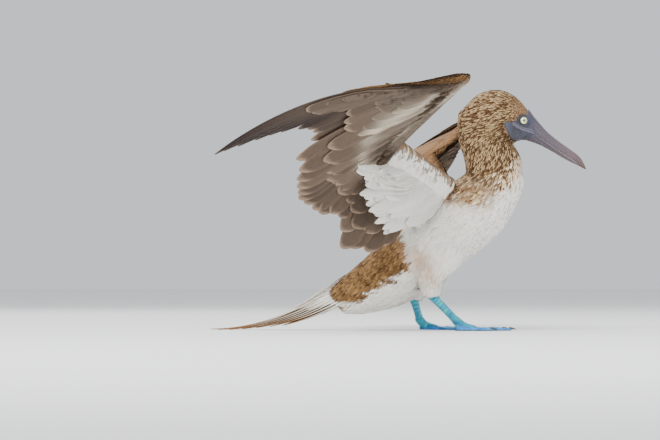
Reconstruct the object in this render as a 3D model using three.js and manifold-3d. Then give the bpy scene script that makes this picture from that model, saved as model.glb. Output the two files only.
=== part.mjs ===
// A male blue-footed booby at life size, walking with its wings half raised, as a still museum model.
// Millimetres. +X is the way the bird faces, +Y is its left side, +Z is up, and the floor is z = 0.
import * as THREE from "three";
import { mergeVertices } from "three/addons/utils/BufferGeometryUtils.js";
import Module from "manifold-3d";

const wasm = await Module();
wasm.setup();

// Gap between parts that touch, and the far reach of a cutting box.
const GAP = 0.3;
const REACH = 900;

// Straight frames that the long forms are measured in: where they start and how far they point down.
const TORSO_START = [40, 0, 130];
const TORSO_PITCH = 38;
const BILL_START = [178, 0, 280];
const BILL_PITCH = 33.4;

// Each row of a profile: distance along, top, bottom, half width.
const TORSO_PROFILE = [
  [-158, 6, -12, 8],
  [-148, 20, -27, 30],
  [-132, 30, -37, 42],
  [-111, 37, -48, 51],
  [-84, 40, -57, 57],
  [-58, 41, -60, 60],
  [-16, 41, -60, 61],
  [19, 40, -60, 59],
  [57, 36.5, -59, 53],
  [83, 33.5, -54, 46],
  [108, 31.5, -45, 38],
  [137, 30.5, -30, 29],
  [158, 28, -14, 21],
];
const NECK_PROFILE = [
  [188, 163, 108, 34],
  [205, 170.5, 97, 37.5],
  [222, 171.5, 92, 36],
  [234, 171, 90, 34],
  [245, 168, 87.5, 31.5],
  [256, 161.5, 83.5, 29],
  [266, 153, 81, 27.5],
  [280, 146, 81.5, 26.5],
  [296, 140, 90, 22],
];
const HEAD_PROFILE = [
  [82, 303, 278, 7],
  [85, 307, 268, 15],
  [94, 315, 259, 22.5],
  [106, 327.5, 254, 27],
  [119, 334, 253, 29],
  [134, 336.3, 254, 29],
  [148, 334, 258, 26.5],
  [160, 328, 262, 23],
  [170, 319, 265, 19.5],
  [179, 307.5, 264.5, 16],
  [188, 297, 262, 12.5],
];
const BILL_PROFILE = [
  [-14, 25, -20, 14.5],
  [-2, 20.5, -16.5, 13],
  [10, 16.7, -12.7, 11.2],
  [26, 12.6, -8.8, 9],
  [46, 10.6, -6.9, 7.2],
  [62, 9.9, -6.2, 6.2],
  [76, 9.2, -4.9, 5.3],
  [86, 7.2, -3.2, 4.2],
  [94, 3.7, -2, 2.6],
  [98.5, 1, -1.4, 0.9],
];
// The line of the mouth, from the corner under the eye to the tip of the bill: distance along and height.
const GAPE_CORNER = -31;
const MOUTH_LINE = [
  [GAPE_CORNER, -12],
  [7, 1],
  [45, -1],
  [80, -1.3],
  [104, -2.4],
];
const MOUTH_SLIT = 0.8;

const EYE_RADIUS = 8;
const IRIS_RADIUS = 5;
const LID_THICKNESS = 1.1;
const EYE_PLACE = [173.6, 18.1, 292];
const EYE_AXIS = [0.36, 0.93, 0.04];

// Legs. The right foot is set forward, the left one back. Half sizes are in the plane of the leg and to its side.
const TARSUS_HALF = [5.4, 3.9];
// The tarsus swells at both joints: place along it and the share of its half sizes.
const TARSUS_SHAPE = [
  [-0.06, 1.25],
  [0.1, 1.2],
  [0.3, 1],
  [0.75, 0.95],
  [0.92, 1.15],
  [1.04, 1.05],
];
const THIGH_NARROWING = [0.6, 0.84];
const LEGS = {
  right: {
    hip: [58, -36, 112],
    shin: [46, -41, 76],
    ankle: [48, -42, 47],
    heel: [83, -42, 11],
    thighHalf: [36, 25],
    cuffHalf: [14.5, 12],
    turn: 2,
  },
  left: {
    hip: [44, 36, 106],
    shin: [26, 41, 68],
    ankle: [17, 42, 44],
    heel: [26.5, 42, 12],
    thighHalf: [34, 25],
    cuffHalf: [14, 12],
    turn: -6,
  },
};
// Each toe: its turn from the middle toe towards the inner side, in degrees, and its length with the claw.
const TOES = [
  [-22, 76],
  [0, 80],
  [26, 60],
  [98, 30],
];
const CLAW_LENGTH = 8;
// A claw along its way: how far, how high, and its half thickness.
const CLAW_SHAPE = [
  [1, 2.4, 2.2],
  [4.5, 2.6, 1.9],
  [8.5, 1.5, 0.6],
];
const WEB_THICKNESS = 1.4;
const HEEL_HEIGHT = 11;
const HEEL_PAD = { radius: 8.5, stretch: 1.25, back: 1, height: 3.5 };
// The foot from heel to toes: the share of a toe's length, and how high the toes and the webs stand there.
const FOOT_PROFILE = [
  [0.16, 9.9, 9.9],
  [0.36, 7, 6.4],
  [0.6, 5.2, 5],
  [0.82, 4.2, 3.6],
  [1, 3.4, 2.4],
];
const WEB_STEPS = 3;
// How far the front edge of a web bends in between two toes, as a share of its reach.
const WEB_NOTCH = 0.1;
// Where a toe's flesh ends and where its claw begins, as shares of the claw's and of the toe's length.
const CLAW_COVER = 0.6;
const CLAW_START = 0.94;

// Tail. The middle feather bends down until its last stretch lies on the floor, and the pairs beside it lie under
// it like tiles, each shorter than the one inside it. They are listed from the middle outwards by how far back each
// reaches. A step outwards also moves a feather to the side and down, more at its root than near the floor.
const TAIL_ROOT = [-75, 0, 72];
const TAIL_FLAT_Z = 1.4;
const TAIL_REACHES = [190, 180, 164, 145, 125, 106, 88];
const TAIL_SIDE_STEP = { root: 2.4, tip: 5.4 };
const TAIL_ROOT_DROP = 4.4;
const TAIL_TIP_DROP = { least: 0.85, share: 0.075 };
const TAIL_ROOF = 0.7;
const TAIL_FEATHER = { narrow: 7, wide: 10, thick: 1.2 };
// Beside the middle a feather is no wider than this for each step outwards, so that it doesn't cross the other side.
const TAIL_INNER_LIMIT = 6;
// The core of the tail coverts: where along x, top, bottom, half width.
const TAIL_CORE = [
  [-62, 80, 34, 15],
  [-80, 74, 26, 18],
  [-96, 62, 24, 17],
  [-112, 49, 24, 12],
  [-126, 40, 24, 5],
];

// Outlines of a feather: a place along it and the share of its full width there.
const ROUND_END = [[0, 0.4], [0.35, 1], [0.75, 1], [0.95, 0.65], [1, 0.15]];
const POINTED = [[0, 0.5], [0.3, 1], [0.65, 0.82], [0.88, 0.45], [1, 0.06]];
const LONG_POINT = [[0, 0.45], [0.35, 0.85], [0.7, 1], [0.9, 0.6], [1, 0.08]];
const SHORT_ROUND = [[0, 0.6], [0.5, 1], [0.88, 0.75], [1, 0.15]];

// Flight feathers from the innermost outwards: half widths before and behind the shaft, and how far the middle of
// the line bows up.
const FLIGHT_PROFILE = [
  [10, 17, 8],
  [8, 17, 14],
  [7, 17, 18],
  [7, 17, 18],
  [6, 15, 24],
  [4, 10, 38],
];
const TIP_THICKNESS = 0.5;
const FLIGHT_THICKNESS = 1;
const COVERT_THICKNESS = 0.8;
// Neighbours lie this far apart, but a feather is never tilted by more than this slope to reach that.
const LAYER = 1.3;
const STEEPEST_TILT = 0.3;
// Each feather is also moved under the one inside it, by this much, along its whole length.
const STACKING = 0.8;
// A steady way across the wing that is added to the way to the next feather, so that no feather twists sharply.
const STEADYING = 6;
const ROOT_INSET = 2;
// Greater coverts over and under the flight feathers: the stretch of the feather that each covers, its height over
// that feather, and its half widths as a share of the flight feather's.
const COVERT_ROWS = {
  upper: { span: [0.1, 0.48], lift: [3.8, 4.2], width: 0.85 },
  under: { span: [0.08, 0.58], lift: [-3.4, -4], width: 0.85 },
};
const COVERT_EVERY = 2;
// The long feathers of the armpit: how many, their half widths, the places along the arm between which they grow,
// how far behind the bone and how deep under the arm's surface they are rooted, how far they bow down, and the step
// that sets their tilt.
const AXILLARIES = 6;
const AXILLARY_HALVES = [11, 13];
const AXILLARY_SPAN = [1.5, -2.6];
const AXILLARY_ROOT = { behind: 8, depth: 2.5 };
const AXILLARY_BOW = -3;
const AXILLARY_STEP = 14;

// Wings: the joints of the arm, and the tips of some flight feathers numbered from the innermost outwards.
const TERTIALS = 4;
const SECONDARIES = 11;
const PRIMARIES = 10;
const FIRST_PRIMARY = TERTIALS + SECONDARIES;
const LAST_FEATHER = FIRST_PRIMARY + PRIMARIES - 1;
// The innermost feather is rooted at this share of the way from shoulder to elbow.
const INNERMOST_ROOT = 0.45;
// Outside this feather the wing keeps facing as it does here.
const STEADY_FEATHER = 19;
const WINGS = {
  right: {
    side: -1,
    frontShare: 1,
    shoulder: [66, -38, 193],
    elbow: [-14, -125, 241],
    wrist: [83, -245, 334],
    handEnd: [-3, -305, 327],
    tips: [
      [-3, [10, -50, 126]],
      [0, [-18, -70, 118]],
      [2, [-64, -95, 107]],
      [4, [-73, -120, 150]],
      [6, [-92, -145, 162]],
      [9, [-127, -180, 176]],
      [13, [-131, -215, 210]],
      [14.4, [-122, -238, 240]],
      [15, [-107, -250, 257]],
      [16.5, [-104, -282, 271]],
      [19, [-139, -350, 267]],
      [24, [-216, -497, 235]],
    ],
    axillaryTips: [[-51, -160, 229], [-38, -138, 180], [-12, -84, 132]],
  },
  left: {
    side: 1,
    frontShare: 0.65,
    shoulder: [64, 38, 194],
    elbow: [30, 132, 238],
    wrist: [98, 235, 303],
    handEnd: [66, 290, 258],
    tips: [
      [-3, [14, 52, 128]],
      [0, [-16, 78, 130]],
      [2, [-48, 110, 132]],
      [4, [-60, 150, 145]],
      [6, [-80, 190, 172]],
      [9, [-90, 240, 196]],
      [13, [-86, 290, 198]],
      [15, [-80, 330, 184]],
      [19, [-62, 395, 147]],
      [21, [-46, 440, 118]],
      [24, [-21, 470, 97]],
    ],
    axillaryTips: [[-30, 165, 214], [-22, 130, 170], [-6, 84, 132]],
  },
};
// How far the arm's flesh and small feathers reach in front of the bones, behind them, and how thick they are,
// from the shoulder to the end of the hand. A wing's `frontShare` makes the front narrower.
const ARM_PROFILE = [
  [20, 62, 26],
  [26, 52, 20],
  [32, 46, 15],
  [30, 46, 14],
  [27, 40, 19],
  [10, 34, 10],
  [7, 26, 7],
];
// The arm's upper side across it: place as a share of the reach in front (below 0) or behind, and half thickness as a
// share of the arm's. It ends behind in an edge of its own thickness.
const ARM_SECTION = [
  [-1, 0.44],
  [-0.35, 1],
  [0.4, 0.8],
];
const ARM_EDGE = 1.3;
const ARM_STEPS = 5;

const point = (x, y, z) => new THREE.Vector3(x, y, z);
const vector = (numbers) => point(...numbers);
const mix = (a, b, f) => a + (b - a) * f;

// A value of a smooth curve through four evenly spaced numbers, between the second and the third.
function between(a, b, c, d, f) {
  const bend = 2 * a - 5 * b + 4 * c - d;
  const twist = 3 * (b - c) + d - a;
  return b + 0.5 * f * (c - a + f * (bend + f * twist));
}

// The row at t, from 0 at the first row to 1 at the last, with every column read from its own smooth curve.
function rowAt(rows, t) {
  const last = rows.length - 1;
  const place = Math.min(Math.max(t, 0), 1) * last;
  const i = Math.min(Math.floor(place), last - 1);
  const row = (k) => rows[Math.min(Math.max(k, 0), last)];
  return rows[0].map((_, c) => between(row(i - 1)[c], row(i)[c], row(i + 1)[c], row(i + 2)[c], place - i));
}

// A closed body through rings with the same number of points. The second half of each ring is split into
// triangles the other way round, so that both faces of a thin form are split alike.
function loft(rings) {
  const count = rings[0].length;
  const corners = rings.flat();
  const index = [];
  for (let r = 0; r < rings.length - 1; r += 1) {
    for (let k = 0; k < count; k += 1) {
      const a = r * count + k;
      const b = r * count + ((k + 1) % count);
      if (k < count / 2) index.push(a, b, a + count, b, b + count, a + count);
      else index.push(a, b, b + count, a, b + count, a + count);
    }
  }
  const start = corners.length;
  const middle = (ring) => ring.reduce((sum, p) => sum.add(p), new THREE.Vector3()).divideScalar(count);
  corners.push(middle(rings[0]), middle(rings.at(-1)));
  const end = (rings.length - 1) * count;
  for (let k = 0; k < count; k += 1) {
    const next = (k + 1) % count;
    index.push(start, next, k);
    index.push(start + 1, end + k, end + next);
  }
  return faceOutwards(new THREE.BufferGeometry().setFromPoints(corners).setIndex(index));
}

function signedVolume(geometry) {
  const places = geometry.getAttribute("position");
  const corner = (i) => new THREE.Vector3().fromBufferAttribute(places, geometry.index.getX(i));
  let sum = 0;
  for (let i = 0; i < geometry.index.count; i += 3) {
    sum += corner(i).dot(corner(i + 1).cross(corner(i + 2)));
  }
  return sum / 6;
}

function faceOutwards(geometry) {
  if (signedVolume(geometry) >= 0) return geometry;
  return geometry.setIndex([...geometry.index.array].reverse());
}

// A closed geometry as a solid that can be joined and cut.
function solidOf(geometry) {
  const bare = geometry.clone();
  bare.deleteAttribute("normal");
  bare.deleteAttribute("uv");
  const merged = mergeVertices(bare, 1e-4);
  const vertProperties = new Float32Array(merged.getAttribute("position").array);
  const triVerts = new Uint32Array(merged.index.array);
  return new wasm.Manifold(new wasm.Mesh({ numProp: 3, vertProperties, triVerts }));
}

const join = (solids) => solids.reduce((all, one) => all.add(one));
const largest = (solid) => solid.decompose().reduce((a, b) => (b.volume() > a.volume() ? b : a));

// All space on the side of a plane that its normal points to.
function halfSpace(origin, normal) {
  const box = new THREE.Object3D();
  box.position.copy(origin);
  box.lookAt(origin.clone().add(normal));
  box.translateZ(REACH / 2);
  box.updateMatrix();
  return solidOf(new THREE.BoxGeometry(REACH, REACH, REACH).applyMatrix4(box.matrix));
}

// A frame in the bird's middle plane: along it, up from it, and its side.
function straightFrame(start, pitch, backwards = false) {
  const angle = THREE.MathUtils.degToRad(pitch);
  const way = backwards ? -1 : 1;
  const along = new THREE.Vector3(way * Math.cos(angle), 0, -Math.sin(angle));
  const up = new THREE.Vector3(way * Math.sin(angle), 0, Math.cos(angle));
  return { start: vector(start), along, up };
}

const TORSO = straightFrame(TORSO_START, TORSO_PITCH, true);
const BILL = straightFrame(BILL_START, BILL_PITCH);
const HEAD = straightFrame([0, 0, 0], 0);
const NECK = { start: vector([0, 0, 0]), along: vector([0, 0, 1]), up: vector([1, 0, 0]) };

function inFrame(frame, along, up) {
  return frame.start.clone().addScaledVector(frame.along, along).addScaledVector(frame.up, up);
}

// A round body along a frame, with `grow` added all round.
function roundBody(frame, profile, rings, sides, grow = 0) {
  const made = [];
  for (let r = 0; r <= rings; r += 1) {
    const [along, top, bottom, half] = rowAt(profile, r / rings);
    const ring = [];
    for (let k = 0; k < sides; k += 1) {
      const angle = (2 * Math.PI * k) / sides;
      const height = (top + bottom) / 2 + ((top - bottom) / 2 + grow) * Math.sin(angle);
      const place = inFrame(frame, along, height);
      place.y = (half + grow) * Math.cos(angle);
      ring.push(place);
    }
    made.push(ring);
  }
  return solidOf(loft(made));
}

const headForm = (grow = 0) => roundBody(HEAD, HEAD_PROFILE, 14, 20, grow);

// Torso, neck and head as one form.
function bodyForm(grow = 0) {
  const torso = roundBody(TORSO, TORSO_PROFILE, 22, 22, grow);
  const neck = roundBody(NECK, NECK_PROFILE, 12, 20, grow);
  return join([torso, neck, headForm(grow)]);
}

// Everything under the line of the mouth, raised by `lift`.
function belowMouth(lift) {
  const outline = new THREE.Shape();
  const [first] = MOUTH_LINE;
  const last = MOUTH_LINE.at(-1);
  outline.moveTo(first[0], -80);
  for (const [along, height] of MOUTH_LINE) outline.lineTo(along, height + lift);
  outline.lineTo(last[0], -80);
  const slab = new THREE.ExtrudeGeometry(outline, { depth: 80, bevelEnabled: false });
  slab.translate(0, 0, -40);
  const side = BILL.along.clone().cross(BILL.up);
  const placed = new THREE.Matrix4().makeBasis(BILL.along, BILL.up, side).setPosition(BILL.start);
  return solidOf(slab.applyMatrix4(placed));
}

// A form along a path of points with half sizes across it: [in the plane of the path, to its side].
function limb(points, halves, sides, grow = 0) {
  const rings = points.map((place, i) => {
    const before = points[Math.max(i - 1, 0)];
    const after = points[Math.min(i + 1, points.length - 1)];
    const way = after.clone().sub(before).normalize();
    const side = vector([0, 1, 0]).addScaledVector(way, -way.y).normalize();
    const front = side.clone().cross(way);
    return Array.from({ length: sides }, (_, k) => {
      const angle = (2 * Math.PI * k) / sides;
      return place
        .clone()
        .addScaledVector(front, (halves[i][0] + grow) * Math.cos(angle))
        .addScaledVector(side, (halves[i][1] + grow) * Math.sin(angle));
    });
  });
  return solidOf(loft(rings));
}

function tarsusForm(leg, grow = 0) {
  const ankle = vector(leg.ankle);
  const heel = vector(leg.heel);
  const points = TARSUS_SHAPE.map(([t]) => ankle.clone().lerp(heel, t));
  const halves = TARSUS_SHAPE.map(([, size]) => TARSUS_HALF.map((half) => half * size));
  return limb(points, halves, 12, grow);
}

function thighForm(leg) {
  const rows = [
    [leg.hip, leg.thighHalf],
    [leg.shin, leg.thighHalf.map((half, i) => half * THIGH_NARROWING[i])],
    [leg.ankle, leg.cuffHalf],
  ];
  const flat = rows.map(([place, half]) => [...place, ...half]);
  const steps = 7;
  const read = Array.from({ length: steps + 1 }, (_, i) => rowAt(flat, i / steps));
  return limb(
    read.map((row) => vector(row.slice(0, 3))),
    read.map((row) => row.slice(3)),
    16,
  );
}

// A foot as a fan of toes and webs round the heel: toes stand on the floor and webs arch between them.
function footForm(leg, side) {
  const heel = vector(leg.heel);
  const columns = [];
  for (let toe = 0; toe < TOES.length; toe += 1) {
    const [turn, length] = TOES[toe];
    columns.push({ turn, reach: length - CLAW_LENGTH * CLAW_COVER, toe: true });
    const next = TOES[toe + 1];
    for (let s = 1; next && s < WEB_STEPS; s += 1) {
      const f = s / WEB_STEPS;
      const notch = 1 - WEB_NOTCH * Math.sin(Math.PI * f);
      columns.push({ turn: mix(turn, next[0], f), reach: (mix(length, next[1], f) - CLAW_LENGTH) * notch });
    }
  }
  const place = (column, share, z) => {
    const angle = THREE.MathUtils.degToRad(leg.turn - side * column.turn);
    const far = column.reach * share;
    return point(heel.x + far * Math.cos(angle), heel.y + far * Math.sin(angle), z);
  };
  const corners = [point(heel.x, heel.y, HEEL_HEIGHT), point(heel.x, heel.y, 0)];
  for (const column of columns) {
    FOOT_PROFILE.forEach(([share, toeTop, webTop], r) => {
      const top = column.toe ? toeTop : webTop;
      const bottom = column.toe || r === 0 ? 0 : top - WEB_THICKNESS;
      corners.push(place(column, share, top), place(column, share, bottom));
    });
  }
  const index = [];
  const quad = (a, b, c, d) => index.push(a, b, c, a, c, d);
  const at = (c, r, bottom) => 2 + 2 * (c * FOOT_PROFILE.length + r) + bottom;
  const last = columns.length - 1;
  const edge = FOOT_PROFILE.length - 1;
  for (let c = 0; c < last; c += 1) {
    index.push(0, at(c, 0, 0), at(c + 1, 0, 0));
    index.push(1, at(c + 1, 0, 1), at(c, 0, 1));
    for (let r = 0; r < edge; r += 1) {
      quad(at(c, r, 0), at(c, r + 1, 0), at(c + 1, r + 1, 0), at(c + 1, r, 0));
      quad(at(c, r, 1), at(c + 1, r, 1), at(c + 1, r + 1, 1), at(c, r + 1, 1));
    }
    quad(at(c, edge, 0), at(c, edge, 1), at(c + 1, edge, 1), at(c + 1, edge, 0));
  }
  index.push(0, 1, at(0, 0, 1), 0, at(0, 0, 1), at(0, 0, 0));
  index.push(0, at(last, 0, 0), at(last, 0, 1), 0, at(last, 0, 1), 1);
  for (let r = 0; r < edge; r += 1) {
    quad(at(0, r, 0), at(0, r, 1), at(0, r + 1, 1), at(0, r + 1, 0));
    quad(at(last, r, 0), at(last, r + 1, 0), at(last, r + 1, 1), at(last, r, 1));
  }
  const fan = solidOf(faceOutwards(new THREE.BufferGeometry().setFromPoints(corners).setIndex(index)));
  const pad = new THREE.SphereGeometry(HEEL_PAD.radius, 12, 8)
    .scale(1, 1, HEEL_PAD.stretch)
    .translate(heel.x - HEEL_PAD.back, heel.y, HEEL_PAD.height);
  const claws = columns.filter((column) => column.toe).map((column) => {
    const from = place(column, CLAW_START, 0);
    const way = place(column, 1, 0).sub(from).normalize();
    return limb(
      CLAW_SHAPE.map(([along, height]) => from.clone().addScaledVector(way, along).setZ(height)),
      CLAW_SHAPE.map(([, , half]) => [half, half]),
      6,
    );
  });
  return join([fan, solidOf(pad), ...claws]);
}

// A feather along the stretch `span` of a bent line, with its vane tapering to the tip. `beside` gives the way to the
// next feather on the side of its narrow edge. That edge is raised towards `dorsal`, so that neighbours lie `layer`
// apart, and the whole feather is raised by `lift`, at its root and at its tip. Each row of `outline` is a place along
// it and the share of its full width there.
function feather({ line, span = [0, 1], lift = [0, 0], beside, layer, dorsal, narrow, wide, thick, outline }) {
  const curve = new THREE.QuadraticBezierCurve3(...line);
  const rings = outline.map(([t, width]) => {
    const along = mix(...span, t);
    const place = curve.getPoint(along);
    const way = curve.getTangent(along);
    const across = beside(along);
    across.addScaledVector(way, -across.dot(way));
    const tilt = Math.min(layer / across.length(), STEEPEST_TILT);
    across.normalize();
    const up = across.clone().cross(way).normalize();
    if (up.dot(dorsal) < 0) up.negate();
    place.addScaledVector(up, mix(...lift, t));
    const spot = (side, height) => place.clone().addScaledVector(across, side).addScaledVector(up, height);
    const front = narrow * width;
    const back = wide * width;
    const half = mix(thick, TIP_THICKNESS, t) / 2;
    return [
      spot(front, tilt * front + half),
      spot(-back, -tilt * back + half),
      spot(-back, -tilt * back - half),
      spot(front, tilt * front - half),
    ];
  });
  return solidOf(loft(rings));
}

// The part of a bent line from t = a to t = b, moved by `from` at its start and by `to` at its end.
function stretch([root, control, tip], a, b, from, to) {
  const blossom = (s, t) =>
    root
      .clone()
      .multiplyScalar((1 - s) * (1 - t))
      .addScaledVector(control, (1 - s) * t + s * (1 - t))
      .addScaledVector(tip, s * t);
  const half = from.clone().lerp(to, 0.5);
  return [blossom(a, a).add(from), blossom(a, b).add(half), blossom(b, b).add(to)];
}

function tailForm() {
  const rings = 5;
  const sides = 8;
  const core = Array.from({ length: rings + 1 }, (_, r) => {
    const [x, top, bottom, half] = rowAt(TAIL_CORE, r / rings);
    return Array.from({ length: sides }, (__, k) => {
      const angle = (2 * Math.PI * k) / sides;
      return point(x, half * Math.cos(angle), (top + bottom) / 2 + ((top - bottom) / 2) * Math.sin(angle));
    });
  });
  const root = vector(TAIL_ROOT);
  const [longest] = TAIL_REACHES;
  const tip = point(root.x - longest, 0, TAIL_FLAT_Z);
  const middle = [root, point((root.x + tip.x) / 2, 0, TAIL_FLAT_Z), tip];
  const pieces = [solidOf(loft(core))];
  TAIL_REACHES.forEach((reach, k) => {
    const end = reach / longest;
    const height = TAIL_FLAT_Z + (root.z - TAIL_FLAT_Z) * (1 - end) ** 2;
    const drop = k * (TAIL_TIP_DROP.least + TAIL_TIP_DROP.share * height);
    const sideStep = mix(TAIL_SIDE_STEP.root, TAIL_SIDE_STEP.tip, end);
    for (const side of k === 0 ? [1] : [1, -1]) {
      const from = point(0, side * TAIL_SIDE_STEP.root * k, -TAIL_ROOT_DROP * k);
      const to = point(0, side * sideStep * k, -drop);
      pieces.push(
        feather({
          line: stretch(middle, 0, end, from, to),
          beside: (t) => point(0, side, k === 0 ? 0 : -TAIL_ROOF * (1 - t * end) ** 2),
          dorsal: point(0, 0, 1),
          ...TAIL_FEATHER,
          wide: Math.min(TAIL_FEATHER.wide, TAIL_INNER_LIMIT * Math.max(k, 1)),
          layer: 0,
          outline: LONG_POINT,
        }),
      );
    }
  });
  return join(pieces).subtract(halfSpace(point(0, 0, 0), point(0, 0, -1)));
}

// Where a flight feather's tip lies. The feather may be a fraction, for a place between two feathers.
function tipOf(wing, feather) {
  const keys = wing.tips;
  let k = 0;
  while (k < keys.length - 2 && keys[k + 1][0] < feather) k += 1;
  const f = (feather - keys[k][0]) / (keys[k + 1][0] - keys[k][0]);
  return vector(rowAt(keys.map(([, tip]) => tip), (k + f) / (keys.length - 1)));
}

// Where its root lies on the bones of the arm.
function rootOf(wing, feather) {
  const bone = (from, to, f) => vector(wing[from]).lerp(vector(wing[to]), f);
  if (feather < TERTIALS) {
    return bone("shoulder", "elbow", mix(INNERMOST_ROOT, 1, feather / TERTIALS));
  }
  if (feather < FIRST_PRIMARY) return bone("elbow", "wrist", (feather - TERTIALS) / SECONDARIES);
  return bone("wrist", "handEnd", (feather - FIRST_PRIMARY) / (PRIMARIES - 1));
}

// The feather's way, the way to its outer neighbour, and the way up out of the wing's upper side.
function featherFrame(wing, feather) {
  const root = rootOf(wing, feather);
  const tip = tipOf(wing, feather);
  const way = tip.clone().sub(root).normalize();
  const inner = Math.min(feather, STEADY_FEATHER) - 1;
  const outer = inner + 2;
  const lead = tipOf(wing, outer).sub(tipOf(wing, inner));
  lead.add(rootOf(wing, outer)).sub(rootOf(wing, inner));
  const dorsal = way.clone().cross(lead).normalize();
  if (dorsal.dot(vector([-0.5, -0.3 * wing.side, 0.8])) < 0) dorsal.negate();
  const across = lead.addScaledVector(way, -lead.dot(way)).normalize();
  return { root, tip, way, across, dorsal };
}

// The shoulder's place in the numbering of the flight feathers.
const SHOULDER_PLACE = (-INNERMOST_ROOT * TERTIALS) / (1 - INNERMOST_ROOT);

// The arm's row of ARM_PROFILE at a place numbered like the flight feathers.
function armSize(place) {
  return rowAt(ARM_PROFILE, (place - SHOULDER_PLACE) / (LAST_FEATHER - SHOULDER_PLACE));
}

// The arm's flesh and small feathers between two places along it.
function armForm(wing, first, last) {
  const rings = Array.from({ length: ARM_STEPS + 1 }, (_, i) => {
    const place = mix(first, last, i / ARM_STEPS);
    const { root, way, dorsal } = featherFrame(wing, place);
    const [front, back, thick] = armSize(place);
    const spot = (share, height) =>
      root
        .clone()
        .addScaledVector(way, share * (share < 0 ? front * wing.frontShare : back))
        .addScaledVector(dorsal, height);
    const half = [...ARM_SECTION.map(([share, height]) => [share, (height * thick) / 2]), [1, ARM_EDGE]];
    const under = half.map(([share, height]) => spot(share, -height)).reverse();
    return [...half.map(([share, height]) => spot(share, height)), ...under];
  });
  return solidOf(loft(rings));
}

function flightLine(wing, number) {
  const { root, tip, way } = featherFrame(wing, number);
  const [, , bow] = rowAt(FLIGHT_PROFILE, number / LAST_FEATHER);
  const control = root.clone().lerp(tip, 0.5).add(point(0, 0, bow));
  return [root.clone().addScaledVector(way, ROOT_INSET), control, tip];
}

// The way from a flight feather to its outer neighbour, at t along both.
function stepOutwards(wing, number) {
  const [first] = [FIRST_PRIMARY, TERTIALS, -1].filter((start) => number >= start);
  const inner = Math.max(number - 1, first);
  const outer = Math.min(number + 1, LAST_FEATHER);
  const [from, to] = [inner, outer].map((n) => new THREE.QuadraticBezierCurve3(...flightLine(wing, n)));
  const { across } = featherFrame(wing, number);
  return (t) => to.getPoint(t).sub(from.getPoint(t)).divideScalar(outer - inner).addScaledVector(across, STEADYING);
}

function flightFeather(wing, number, row = {}) {
  const [narrow, wide] = rowAt(FLIGHT_PROFILE, number / LAST_FEATHER);
  const { span, lift, width = 1 } = row;
  const tipForm = number < FIRST_PRIMARY ? ROUND_END : POINTED;
  const { dorsal } = featherFrame(wing, number);
  const middle = number < FIRST_PRIMARY ? (TERTIALS + FIRST_PRIMARY) / 2 : (FIRST_PRIMARY + LAST_FEATHER) / 2;
  const stack = dorsal.clone().multiplyScalar(STACKING * (middle - number));
  return feather({
    line: flightLine(wing, number).map((place) => place.clone().add(stack)),
    span,
    lift,
    beside: stepOutwards(wing, number),
    layer: LAYER,
    dorsal,
    narrow: narrow * width,
    wide: wide * width,
    thick: span ? COVERT_THICKNESS : FLIGHT_THICKNESS,
    outline: span ? SHORT_ROUND : tipForm,
  });
}

// The plane across the wing that lies along a place between two feathers, facing outwards.
function wingPlane(wing, place) {
  const { root, way, dorsal, across } = featherFrame(wing, place);
  const normal = way.clone().cross(dorsal).normalize();
  return { origin: root, normal: normal.dot(across) < 0 ? normal.negate() : normal };
}

// A stretch of wing: its arm, and the flight feathers and greater coverts numbered from `first` to `last`.
function wingForm(wing, armFrom, armTo, first, last) {
  const pieces = [armForm(wing, armFrom, armTo)];
  for (let number = first; number <= last; number += 1) {
    pieces.push(flightFeather(wing, number));
    if (number % COVERT_EVERY !== 0) continue;
    pieces.push(...Object.values(COVERT_ROWS).map((row) => flightFeather(wing, number, row)));
  }
  return join(pieces);
}

// The long white feathers of the armpit, on the wing's under side.
function axillaries(wing) {
  const pieces = Array.from({ length: AXILLARIES }, (_, i) => {
    const f = i / (AXILLARIES - 1);
    const { root, way, across, dorsal } = featherFrame(wing, mix(...AXILLARY_SPAN, f));
    const [, , thick] = armSize(mix(...AXILLARY_SPAN, f));
    root.addScaledVector(way, AXILLARY_ROOT.behind).addScaledVector(dorsal, AXILLARY_ROOT.depth - thick / 2);
    const tip = vector(rowAt(wing.axillaryTips, f));
    const control = root.clone().lerp(tip, 0.5).addScaledVector(dorsal, AXILLARY_BOW);
    const [narrow, wide] = AXILLARY_HALVES;
    return feather({
      line: [root, control, tip],
      beside: () => across.clone().multiplyScalar(AXILLARY_STEP),
      layer: LAYER,
      dorsal,
      narrow,
      wide,
      thick: COVERT_THICKNESS,
      outline: SHORT_ROUND,
    });
  });
  return join(pieces);
}

const group = new THREE.Group();

function addPart(name, solid, color, roughness = 0.8) {
  const { vertProperties, triVerts } = largest(solid).getMesh();
  const geometry = new THREE.BufferGeometry();
  geometry.setAttribute("position", new THREE.BufferAttribute(new Float32Array(vertProperties), 3));
  geometry.setIndex(new THREE.BufferAttribute(new Uint32Array(triVerts), 1));
  geometry.computeVertexNormals();
  const mesh = new THREE.Mesh(geometry, new THREE.MeshStandardMaterial({ color, roughness, metalness: 0 }));
  mesh.name = name;
  group.add(mesh);
}

// Planes that part the one form into torso, neck, head and bill.
const NECK_BASE = { origin: vector([92, 0, 221]), normal: vector([0.2, 0, 0.98]).normalize() };
const HEAD_BASE = { origin: vector([80, 0, 272]), normal: vector([0.1, 0, 0.995]).normalize() };
const BILL_BASE = { origin: vector([182, 0, 281]), normal: vector([0.95, 0, -0.31]).normalize() };
const before = ({ origin, normal }) => halfSpace(origin, normal.clone().negate());
const beyond = ({ origin, normal }) => halfSpace(origin.clone().addScaledVector(normal, GAP), normal);

const body = bodyForm();
const clearance = bodyForm(GAP);

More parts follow.
